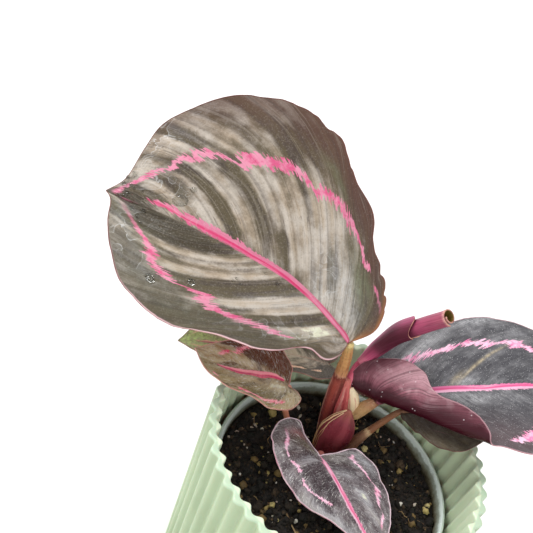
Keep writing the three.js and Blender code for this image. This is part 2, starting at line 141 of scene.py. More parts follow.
def centripetal(points, count):
    """Evenly spaced points on a centripetal Catmull-Rom curve."""
    points = [np.asarray(p, float) for p in points]
    padded = [2 * points[0] - points[1], *points, 2 * points[-1] - points[-2]]
    curve = []
    for k in range(len(points) - 1):
        p0, p1, p2, p3 = padded[k:k + 4]
        t0 = 0.0
        t1 = knot(p0, p1, t0)
        t2 = knot(p1, p2, t1)
        t3 = knot(p2, p3, t2)
        for t in np.linspace(t1, t2, SPAN_POINTS, endpoint=k == len(points) - 2):
            a1, a2, a3 = between(p0, p1, t0, t1, t), between(p1, p2, t1, t2, t), between(p2, p3, t2, t3, t)
            b1, b2 = between(a1, a2, t0, t2, t), between(a2, a3, t1, t3, t)
            curve.append(between(b1, b2, t1, t2, t))
    curve = np.array(curve)
    length = np.concatenate([[0], np.cumsum(np.linalg.norm(np.diff(curve, axis=0), axis=1))])
    at = np.linspace(0, length[-1], count)
    return np.stack([np.interp(at, length, curve[:, k]) for k in range(3)], 1), length[-1]


def frame_along(line):
    """Two unit vectors square to a line of points, the first as near to x as it can be."""
    ahead = np.gradient(line, axis=0)
    ahead /= np.linalg.norm(ahead, axis=1, keepdims=True)
    across = np.array([1.0, 0, 0]) - ahead * ahead[:, :1]
    across /= np.linalg.norm(across, axis=1, keepdims=True)
    return across, np.cross(ahead, across)


# Meshes

def mesh_object(name, points, faces, materials, face_material=None, attributes=None):
    """points in millimetres. attributes: name -> three numbers a point."""
    mesh = bpy.data.meshes.new(name)
    points = np.asarray(points, float) * MM
    faces = np.asarray(faces)
    mesh.vertices.add(len(points))
    mesh.vertices.foreach_set("co", points.ravel())
    size = faces.shape[1]
    mesh.loops.add(faces.size)
    mesh.loops.foreach_set("vertex_index", faces.ravel())
    mesh.polygons.add(len(faces))
    mesh.polygons.foreach_set("loop_start", np.arange(len(faces)) * size)
    if face_material is not None:
        mesh.polygons.foreach_set("material_index", np.asarray(face_material, dtype=np.int32))
    mesh.update(calc_edges=True)
    mesh.polygons.foreach_set("use_smooth", np.full(len(faces), True))
    for key, values in (attributes or {}).items():
        layer = mesh.attributes.new(key, "FLOAT_VECTOR", "POINT")
        layer.data.foreach_set("vector", values.ravel())
    for material in materials:
        mesh.materials.append(material)
    return add_object(name, mesh)


def grid_faces(rows, columns, wrap=False):
    """Quads of a grid of points, closed round its columns if wrap is true."""
    across = columns if wrap else columns - 1
    i, j = np.meshgrid(np.arange(rows - 1), np.arange(across), indexing="ij")
    a = i * columns + j
    b = i * columns + (j + 1) % columns
    return np.stack([a, b, b + columns, a + columns], -1).reshape(-1, 4)


def mend(obj, distance=1e-7):
    """Merges the points where a grid closes on itself."""
    bm = bmesh.new()
    bm.from_mesh(obj.data)
    bmesh.ops.remove_doubles(bm, verts=bm.verts, dist=distance)
    bmesh.ops.dissolve_degenerate(bm, edges=bm.edges, dist=distance)
    bm.to_mesh(obj.data)
    bm.free()
    return obj


def dress(obj, node, slot):
    """node: the node of the model that the piece takes the place of, or None for an extra piece."""
    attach(obj, "root")
    if node:
        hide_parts(node)


def three_skins(faces, rim_count):
    """Material numbers of a sheet: its outer faces, as many inner ones, and the rim."""
    return np.repeat([0, 1, 2], [len(faces), len(faces), rim_count])


# Materials

class Nodes:
    """Short words for a material's node tree."""

    def __init__(self, name):
        self.material = bpy.data.materials.new(name)
        self.material.use_nodes = True
        self.tree = self.material.node_tree
        self.tree.nodes.clear()
        self.shader = self.tree.nodes.new("ShaderNodeBsdfPrincipled")
        output = self.tree.nodes.new("ShaderNodeOutputMaterial")
        self.tree.links.new(self.shader.outputs[0], output.inputs[0])

    def put(self, socket, value):
        if isinstance(value, bpy.types.NodeSocket):
            self.tree.links.new(value, socket)
        elif isinstance(value, (tuple, list)) and len(value) == 3 and socket.type == "RGBA":
            socket.default_value = (*value, 1)
        else:
            socket.default_value = value

    def node(self, kind, inputs=(), out=0, **settings):
        node = self.tree.nodes.new("ShaderNode" + kind)
        for key, value in settings.items():
            setattr(node, key, value)
        for key, value in dict(inputs).items():
            self.put(node.inputs[key], value)
        return node.outputs[out]

    def attribute(self, name):
        """The three numbers that the mesh stores at each point under this name."""
        return self.split(self.node("Attribute", out="Vector", attribute_name=name))

    def place(self):
        return self.node("TexCoord", out="Object")

    def split(self, vector):
        node = self.tree.nodes.new("ShaderNodeSeparateXYZ")
        self.put(node.inputs[0], vector)
        return node.outputs

    def pack(self, x=0.0, y=0.0, z=0.0):
        return self.node("CombineXYZ", {0: x, 1: y, 2: z})

    def math(self, operation, a, b=0.0):
        return self.node("Math", {0: a, 1: b}, operation=operation)

    def add(self, a, b):
        return self.math("ADD", a, b)

    def sub(self, a, b):
        return self.math("SUBTRACT", a, b)

    def mul(self, a, b):
        return self.math("MULTIPLY", a, b)

    def size(self, a):
        return self.math("ABSOLUTE", a)

    def most(self, a, b):
        return self.math("MAXIMUM", a, b)

    def stretched(self, vector, scale):
        return self.node("VectorMath", {0: vector, 1: scale}, operation="MULTIPLY")

    def blend(self, a, a_share, b, b_share):
        return self.add(self.mul(a, a_share), self.mul(b, b_share))

    def step(self, x, low, high, to_low=0.0, to_high=1.0):
        return self.node("MapRange", {0: x, 1: low, 2: high, 3: to_low, 4: to_high},
                         interpolation_type="SMOOTHSTEP")

    def near(self, x, middle, inner, outer):
        """1 where x is within inner of the middle, down to 0 at outer."""
        return self.step(self.size(self.sub(x, middle)), inner, outer, 1.0, 0.0)

    def noise(self, vector, scale, detail=2.0, roughness=0.5, distortion=0.0, stretch=None):
        if stretch:
            vector = self.stretched(vector, stretch)
        return self.node("TexNoise", {
            "Vector": vector, "Scale": scale, "Detail": detail, "Roughness": roughness,
            "Distortion": distortion})

    def cells(self, vector, scale, out="Distance"):
        return self.node("TexVoronoi", {"Vector": vector, "Scale": scale}, out=out)

    def mix(self, a, b, amount):
        """Colour a where amount is 0, b where it is 1."""
        node = self.tree.nodes.new("ShaderNodeMix")
        node.data_type = "RGBA"
        node.clamp_factor = True
        self.put(node.inputs[0], amount)
        self.put(node.inputs[6], a)
        self.put(node.inputs[7], b)
        return node.outputs[2]

    def wash(self, colour, over, mask, strength):
        return self.mix(colour, over, self.mul(mask, strength))

    def ramp(self, amount, stops):
        """stops: (place, red, green, blue) in display numbers."""
        node = self.tree.nodes.new("ShaderNodeValToRGB")
        node.color_ramp.interpolation = "LINEAR"
        while len(node.color_ramp.elements) > 1:
            node.color_ramp.elements.remove(node.color_ramp.elements[-1])
        for k, (place, *shade) in enumerate(stops):
            element = node.color_ramp.elements[0] if k == 0 else node.color_ramp.elements.new(place)
            element.position = place
            element.color = (*srgb(*shade), 1)
        self.put(node.inputs[0], amount)
        return node.outputs[0]

    def bump(self, height, strength, distance):
        return self.node("Bump", {"Height": height, "Strength": strength, "Distance": distance})

    def finish(self, colour, roughness, normal=None, **sockets):
        self.put(self.shader.inputs["Base Color"], colour)
        self.put(self.shader.inputs["Roughness"], roughness)
        if normal is not None:
            self.put(self.shader.inputs["Normal"], normal)
        for key, value in sockets.items():
            self.put(self.shader.inputs[key.replace("_", " ")], value)
        return self.material


def srgb(r, g, b):
    """A colour given in display numbers from 0 to 255."""
    return tuple(((c / 255) / 12.92 if c / 255 <= 0.04045 else ((c / 255 + 0.055) / 1.055) ** 2.4)
                 for c in (r, g, b))


def shades(*colours):
    """Several colours given in display numbers."""
    return [srgb(*colour) for colour in colours]


# Leaves. A flat leaf is laid out from its midrib and the outlines of its two sides, then folded along the
# midrib, arched and turned into place. s runs from the base (0) to the tip (1), v from the right margin
# (-1) over the midrib (0) to the left margin (1).

CURL_STRAIGHT = 18.0         # how far along the leaf the curl's line stays straight
BEND_ALONG, BEND_OUT, BEND_BACK = 0.25, 0.65, 0.4    # how the grid's lines bend from midrib to margin


class Leaf:
    """bow and lean bend the midrib sideways, arch bends it down. fold_left and fold_right are degrees at
    the base and the tip. curl: a point on the line where the right side curls over, the line's angle, the
    radius and angle of the curl, and how much the line bends."""

    def __init__(self, base, heading, rise, roll, length, left, right, bow=0.0, lean=1.0, arch=0.004,
                 fold_left=(8, 8), fold_right=(8, 8), valley=3.0, wave=0.4, curl=None):
        self.base = np.array(base, float)
        self.length, self.bow, self.lean, self.arch = length, bow, lean, arch
        self.folds = {1: np.radians(fold_left), -1: np.radians(fold_right)}
        self.valley, self.wave, self.curl = valley, wave, curl
        self.outline = {1: [(0, 0), *left, (length, 0)], -1: [(0, 0), *right, (length, 0)]}
        heading, rise, roll = np.radians([heading, rise, roll])
        self.along = np.array([np.cos(rise) * np.cos(heading), np.cos(rise) * np.sin(heading), np.sin(rise)])
        level = np.cross([0, 0, 1.0], self.along)
        level /= np.linalg.norm(level)
        up = np.cross(self.along, level)
        self.across = level * np.cos(roll) + up * np.sin(roll)
        self.normal = np.cross(self.along, self.across)

    def flat(self, s, v):
        """Places on the flat leaf: along, across, and half the leaf's width there."""
        side_left = spline(self.outline[1], s)
        side_right = spline(self.outline[-1], s)
        margin = np.where((v >= 0)[..., None], side_left, side_right)
        w = np.abs(v)
        start = self.length * s ** 2
        bend_a = start + BEND_ALONG * (margin[..., 0] - start)
        behind = np.maximum(start - margin[..., 0], 0)
        bend_w = np.maximum(BEND_OUT * margin[..., 1], BEND_BACK * behind)
        a = (1 - w) ** 2 * start + 2 * w * (1 - w) * bend_a + w * w * margin[..., 0]
        b = 2 * w * (1 - w) * bend_w + w * w * margin[..., 1]
        return a, np.where(v >= 0, b, -b), margin[..., 1]

    def past_fold(self, a, b):
        """How far points of the flat leaf lie beyond the line of the curl."""
        px, py, angle = self.curl[:3]
        angle = np.radians(angle)
        return -(a - px) * np.sin(angle) + (b - self.fold_bend(a) - py) * np.cos(angle)

    def fold_bend(self, a):
        """The curl's line bends forward along its far half."""
        return self.curl[5] * np.maximum(a - CURL_STRAIGHT, 0) ** 2

    def fold_at(self, hand, share):
        base, tip = self.folds[hand]
        return base + (tip - base) * share

    def curled(self, a, b, height):
        """Points of the flat leaf after its right side has curled over."""
        px, py, angle, radius, turn = self.curl[:5]
        angle, turn = np.radians([angle, turn])
        dx, dy = np.cos(angle), np.sin(angle)
        past = self.past_fold(a, b)
        shift = self.fold_bend(a)
        b = b - shift
        run = (a - px) * dx + (b - py) * dy
        bend = np.clip(past / radius, 0, turn)
        rest = np.maximum(past - radius * turn, 0)
        reach = radius * np.sin(bend) + rest * np.cos(turn) - height * np.sin(bend)
        lift = radius * (1 - np.cos(bend)) + rest * np.sin(turn) + height * np.cos(bend)
        over = past > 0
        return (np.where(over, px + run * dx - reach * dy, a),
                np.where(over, py + run * dy + reach * dx, b) + shift,
                np.where(over, lift, height))

    def place(self, a, b, height):
        """Points of the finished leaf. height is over the middle of the blade's thickness."""
        if self.curl:
            a, b, height = self.curled(a, b, height)
        share = np.clip(a / self.length, 0, 1)
        fold = np.where(b > 0, self.fold_at(1, share), self.fold_at(-1, share))
        root = np.hypot(b, self.valley)
        spread = root - self.valley
        slope = -np.sin(fold) * b / root
        side = b - np.sign(b) * spread * (1 - np.cos(fold)) + slope * height
        lift = spread * np.sin(fold) + np.sqrt(1 - slope * slope) * height
        midrib = self.bow * np.sin(np.pi * share ** self.lean)
        turn = self.arch * a
        x = np.sin(turn) / self.arch + lift * np.sin(turn)
        z = (np.cos(turn) - 1) / self.arch + lift * np.cos(turn)
        return (self.base + x[..., None] * self.along + (side + midrib)[..., None] * self.across
                + z[..., None] * self.normal)


SLANT = 0.32                 # how far the side veins lean forward of the grid's lines
MARGIN_PARTS = 48            # the distances to the margin are worked out in this many parts
FAR_OFF = 50.0               # distance to the ring where a leaf has none
VEIN_SPACING = 0.07          # the vein index between two creases that make a pleat of full height
PATCH_BLUR, PATCH_BLUR_ACROSS = 0.013, 0.09
CHANNELS = 6                 # red, green, painted sheen, amber, residue, hem


def vein_index(s, v):
    """The place along the midrib from which the side vein through a point starts."""
    return s - SLANT * np.sqrt(np.clip(4 * s * (1 - s), 0, 1)) * np.abs(v)


def columns(*arrays):
    """One row for each point, from arrays of any one shape."""
    return np.stack([x.ravel() for x in arrays], -1)


def steps(table, u):
    """A line through (u, ...) rows, where two rows at nearly the same u make a jump."""
    us = [row[0] for row in table]
    return [np.interp(u, us, [row[k] for row in table]) for k in range(1, len(table[0]))]


def margin_distance(a, b):
    """How far each point of the flat leaf is from the leaf's outline, in millimetres."""
    line = np.concatenate([np.stack([a[:, 0], b[:, 0]], -1), np.stack([a[:, -1], b[:, -1]], -1)[::-1]])
    start, step = line[:-1], np.diff(line, axis=0)
    square = np.maximum((step ** 2).sum(-1), 1e-12)
    gaps = []
    for part in np.array_split(columns(a, b), MARGIN_PARTS):
        away = part[:, None] - start[None]
        share = np.clip((away * step).sum(-1) / square, 0, 1)
        gaps.append(np.linalg.norm(away - share[..., None] * step, axis=-1).min(1))
    return np.concatenate(gaps).reshape(a.shape)


def worn_margin(look, s, v, b):
    """The places across the flat leaf, with a ragged margin and the look's scallops."""
    w = np.abs(v)
    rough = smooth(w, 0.7, 1.0) * fractal(s * 26 + 7 * (v > 0), w * 0 + 2, 29)
    b = b * (1 + look.get("ragged", 0.012) * rough)
    for hand, first, last, waves, depth in look.get("scallops", ()):
        here = smooth(s, first, first + 0.03) * smooth(-s, -last, -last + 0.03) * smooth(w, 0.78, 1.0)
        wave = depth * here * (np.abs(np.sin(np.pi * waves * s)) - 0.6)
        b = b * (1 + np.where(np.sign(v) == hand, wave, 0))
    return b


def ring_lines(look, u, w, side, reach):
    """Signed distance from the middle of the ring, and the ring's half width, in millimetres."""
    ring, ring_half = np.full_like(u, FAR_OFF), np.zeros_like(u)
    for hand, table in look["rings"].items():
        at, half = steps(table, u)
        here = side == hand
        ring = np.where(here, (w - at) * reach, ring)
        ring_half = np.where(here, half * reach, ring_half)
    return ring, ring_half


def pleats(look, u, w, side):
    """Height of the swell between the side veins from 0 to 1, and which way its flank leans."""
    pleat, slant = np.zeros_like(u), np.zeros_like(u)
    for hand in (1, -1):
        creases = np.array(look["creases"][hand], float)
        shifted = u + 0.006 * noise2(u * 9, w * 3, 7 + hand)
        k = np.clip(np.searchsorted(creases, shifted) - 1, 0, len(creases) - 2)
        share = np.clip((shifted - creases[k]) / (creases[k + 1] - creases[k]), 0, 1)
        wide = (creases[k + 1] - creases[k]) / VEIN_SPACING
        crown = np.sin(np.pi * share ** 0.8) ** 0.75 * np.minimum(wide, 1.5)
        pleat = np.where(side == hand, crown, pleat)
        slant = np.where(side == hand, np.sin(2 * np.pi * share), slant)
    return pleat, slant


def tints(look, s, u, w, side):
    """Soft round marks, the strongest one at each point, for each channel."""
    tint = [np.zeros_like(s) for _ in range(CHANNELS)]
    for hand, bs, bv, rs, rv, channel, strength in look.get("blobs", ()):
        at = s if abs(hand) == 2 else u
        here = strength * np.exp(-((at - bs) / rs) ** 2 - ((w - bv) / rv) ** 2)
        if hand:
            here = here * smooth(side * np.sign(hand) * w, -0.04, 0.04)
        tint[channel] = np.maximum(tint[channel], here)
    return tint


def patches(look, u, w, side):
    """Light (above 0) and dark (below 0) patches between the side veins. The lightest get a painted glare."""
    shade = np.zeros_like(u)
    patch_u = u + 0.01 * fractal(u * 14, w * 5 + 3 * side, 31)
    patch_w = w + 0.07 * fractal(u * 16, w * 6 + 3 * side, 37)

    def edges(x, low, high, blur):
        return smooth(x, low - blur, low + blur), smooth(-x, -high - blur, -high + blur)

    for hand, u0, u1, w0, w1, amount in look.get("patches", ()):
        first, last = edges(patch_u, u0, u1, PATCH_BLUR)
        near, far = edges(patch_w, w0, w1, PATCH_BLUR_ACROSS)
        shade = shade + np.where(side == hand, amount * (first * last * near * far), 0)
    return shade


def leaf_object(name, leaf, rows, halves, look, materials, thick=0.34):
    """A closed blade with its top, underside and a rounded edge. rows run along it, and halves columns lie
    on each side of the midrib. look says what is drawn on it and how strong its relief is."""
    width = 2 * halves + 1
    s = np.linspace(0, 1, rows)[:, None] + np.zeros((1, width))
    v = np.linspace(-1, 1, width)[None, :] + np.zeros((rows, 1))
    w = np.abs(v)
    a, b, reach = leaf.flat(s, v)
    b = worn_margin(look, s, v, b)
    u = vein_index(s, v)
    reach = np.maximum(reach, 0.5)
    side = np.where(v >= 0, 1.0, -1.0)
    ring, ring_half = ring_lines(look, u, w, side, reach)
    rib_at, rib_half = steps(look["rib"], s)
    rib = v * reach - rib_at * reach
    rib = np.where(a < 0, np.where(rib < 0, -1, 1) * np.hypot(rib, a), rib)
    edge = margin_distance(a, b)
    # relief: pleats between the side veins, a furrow along the midrib, wavy margin, fine unevenness
    body = smooth(w, 0.02, 0.16) * smooth(edge, 0.0, 5.0) * smooth(s, 0.01, 0.12)
    pleat, slant = pleats(look, u, w, side)
    uneven = 0.75 + 0.5 * fractal(u * 12 + 3, w * 2.2 + 3 * side, 13)
    height = look["pleat"] * body * (pleat - 0.5) * uneven
    height = height + look["swell"] * body * fractal(u * 9, w * 1.6 + 3 * side, 11)
    height = height + look.get("pucker", 0.06) * body * fractal(a * 0.35, b * 0.35, 19)
    depth = look["groove"] * (1 - smooth(s, 0.55, 1.0))
    height = height - depth * np.exp(-(rib / (0.8 + rib_half)) ** 2)
    ripple = leaf.wave * w ** 2 * np.sin(10 * np.pi * s) * np.sin(np.pi * s)
    frill = look["frill"] * w ** 4 * noise2(s * 24 + 5 * side, w * 0 + 3, 23)
    height = height + ripple + frill * smooth(s, 0, 0.08) * smooth(1 - s, 0, 0.05)
    bulge = look["bulge"] * (1 - 0.7 * s) * np.exp(-(rib / 1.0) ** 2) * smooth(s, 0, 0.03)
    top = leaf.place(a, b, height + thick / 2)
    under = leaf.place(a, b, height - thick / 2 - bulge)
    tint = tints(look, s, u, w, side)
    past = leaf.past_fold(a, b) if leaf.curl else np.zeros_like(s)
    fields = {
        "vein": columns(u, w, side),
        "spot": columns(a, b, edge),
        "ring": columns(ring, ring_half, s),
        "rib": columns(rib, rib_half * reach, s),
        "tint": columns(*tint[:3]),
        "mark": columns(*tint[3:]),
        "pleat": columns(pleat, slant, 0 * s),
        "shade": columns(patches(look, u, w, side), past, 0 * s),
    }
    # a rounded edge between the faces
    outward = top - leaf.place(*leaf.flat(s, v * 0.985)[:2], height + thick / 2)
    rim_rows = np.concatenate([np.arange(rows) * width, np.arange(rows)[::-1] * width + width - 1])
    top_flat, under_flat = top.reshape(-1, 3), under.reshape(-1, 3)
    push = outward.reshape(-1, 3)[rim_rows]
    push = push / np.maximum(np.linalg.norm(push, axis=1, keepdims=True), 1e-6) * thick * 0.35
    rim = (top_flat[rim_rows] + under_flat[rim_rows]) / 2 + push
    points = np.concatenate([top_flat, under_flat, rim])
    # faces
    count = rows * width
    faces = grid_faces(rows, width)[:, ::-1]
    loop_rim = 2 * count + np.arange(len(rim_rows))
    next_row, next_rim = np.roll(rim_rows, -1), np.roll(loop_rim, -1)
    rim_top = np.stack([rim_rows, next_row, next_rim, loop_rim], -1)
    rim_low = np.stack([loop_rim, next_rim, next_row + count, rim_rows + count], -1)
    all_faces = np.concatenate([faces, faces[:, ::-1] + count, rim_top, rim_low])
    fields = {key: np.concatenate([x, x, x[rim_rows]]) for key, x in fields.items()}
    which = three_skins(faces, 2 * len(rim_rows))
    return mend(mesh_object(name, points, all_faces, materials, which, fields)), top


# Each leaf: base, heading, rise and roll in degrees, length, and its outlines as (along, across).
LEAVES = {
    "main_leaf": Leaf(
        (-16.5, 21.2, 122), 177, 12, -31, 104, bow=-6, lean=0.6, arch=0.004, fold_left=(24, 17),
        fold_right=(20, 14), valley=4, wave=0.8,
        right=[(-5, 8), (-4, 16), (0, 22), (7, 25.5), (13, 30), (18, 37), (28, 42), (36, 48.5), (45, 54),
               (56, 55.5), (68, 55), (80, 50.5), (91, 40.5), (98, 31), (99.5, 20), (100, 8)],
        left=[(1, 8), (5, 15), (13, 18), (21, 27), (31, 32.5), (42, 36), (53, 39.5), (64, 39), (75, 34),
              (86, 23.5), (95, 12), (100, 3)]),
    "left_leaf": Leaf(
        (-29, 11, 100), 190, 11, -4, 37, arch=0.004, fold_left=(16, 8), fold_right=(16, 8), valley=2,
        wave=0.3,
        right=[(0, 3), (1, 8), (6, 12), (14, 14), (22, 10.5), (31, 4.5)],
        left=[(-4, 1), (-5, 5), (-1, 12), (5, 15.5), (14, 14), (24, 12.5), (32, 8)]),
    "front_leaf": Leaf(
        (-8.8, -2, 88), -37, -3, 0, 41, arch=0.004, fold_left=(10, 6), fold_right=(20, 6), valley=2,
        wave=0.4,
        right=[(-8, 0.6), (-15.6, -1.7), (-17.3, 7), (-10.5, 18.3), (-2, 23), (7, 24.4), (15, 22.3),
               (22.5, 14.3), (30.5, 9)],
        left=[(2, 6), (4, 13), (11, 16), (20, 15), (29, 12), (36, 6)]),
    "right_leaf": Leaf(
        (3, 22.8, 100), 26, 24, 0, 88, arch=0.006, fold_left=(8, 6), fold_right=(8, 6), valley=3, wave=0.6,
        curl=(0, 2, 140, 3.2, 150, 0.007),
        right=[(-8, -2.5), (-14.3, 0), (-16.2, 8), (-11, 19), (-3, 22.8), (7, 23.2), (18, 31),
               (27.5, 32.5), (37, 28.5), (50, 32), (64, 28), (77, 16)],
        left=[(-4, 5), (-3, 13), (8, 20), (22, 26), (38, 31), (55, 31), (70, 27), (81, 14)]),
    "lower_leaf": Leaf(
        (14, 27, 96), 5, 24, 0, 36, arch=0.008, valley=3, wave=0.3,
        right=[(0, 3), (3, 7), (8, 12), (15, 17), (22, 17.5), (29, 11)],
        left=[(0, 6), (6, 10), (14, 12), (24, 11), (32, 5)]),
    "rear_leaf": Leaf(
        (-17, 35.3, 94.5), -155, 14, -3, 61, arch=0.006, fold_left=(14, 10), fold_right=(18, 10), valley=3,
        wave=0.3,
        right=[(-4, 4), (-2, 11), (8, 17), (22, 20), (36, 18.5), (50, 11)],
        left=[(-3, 4), (3, 9), (9, 10.5), (18, 9.5), (30, 10), (42, 10), (53, 6)]),
}


def even_creases(count):
    places = np.linspace(-0.3, 1.05, count)
    return {1: places, -1: places + 0.4 * (places[1] - places[0])}
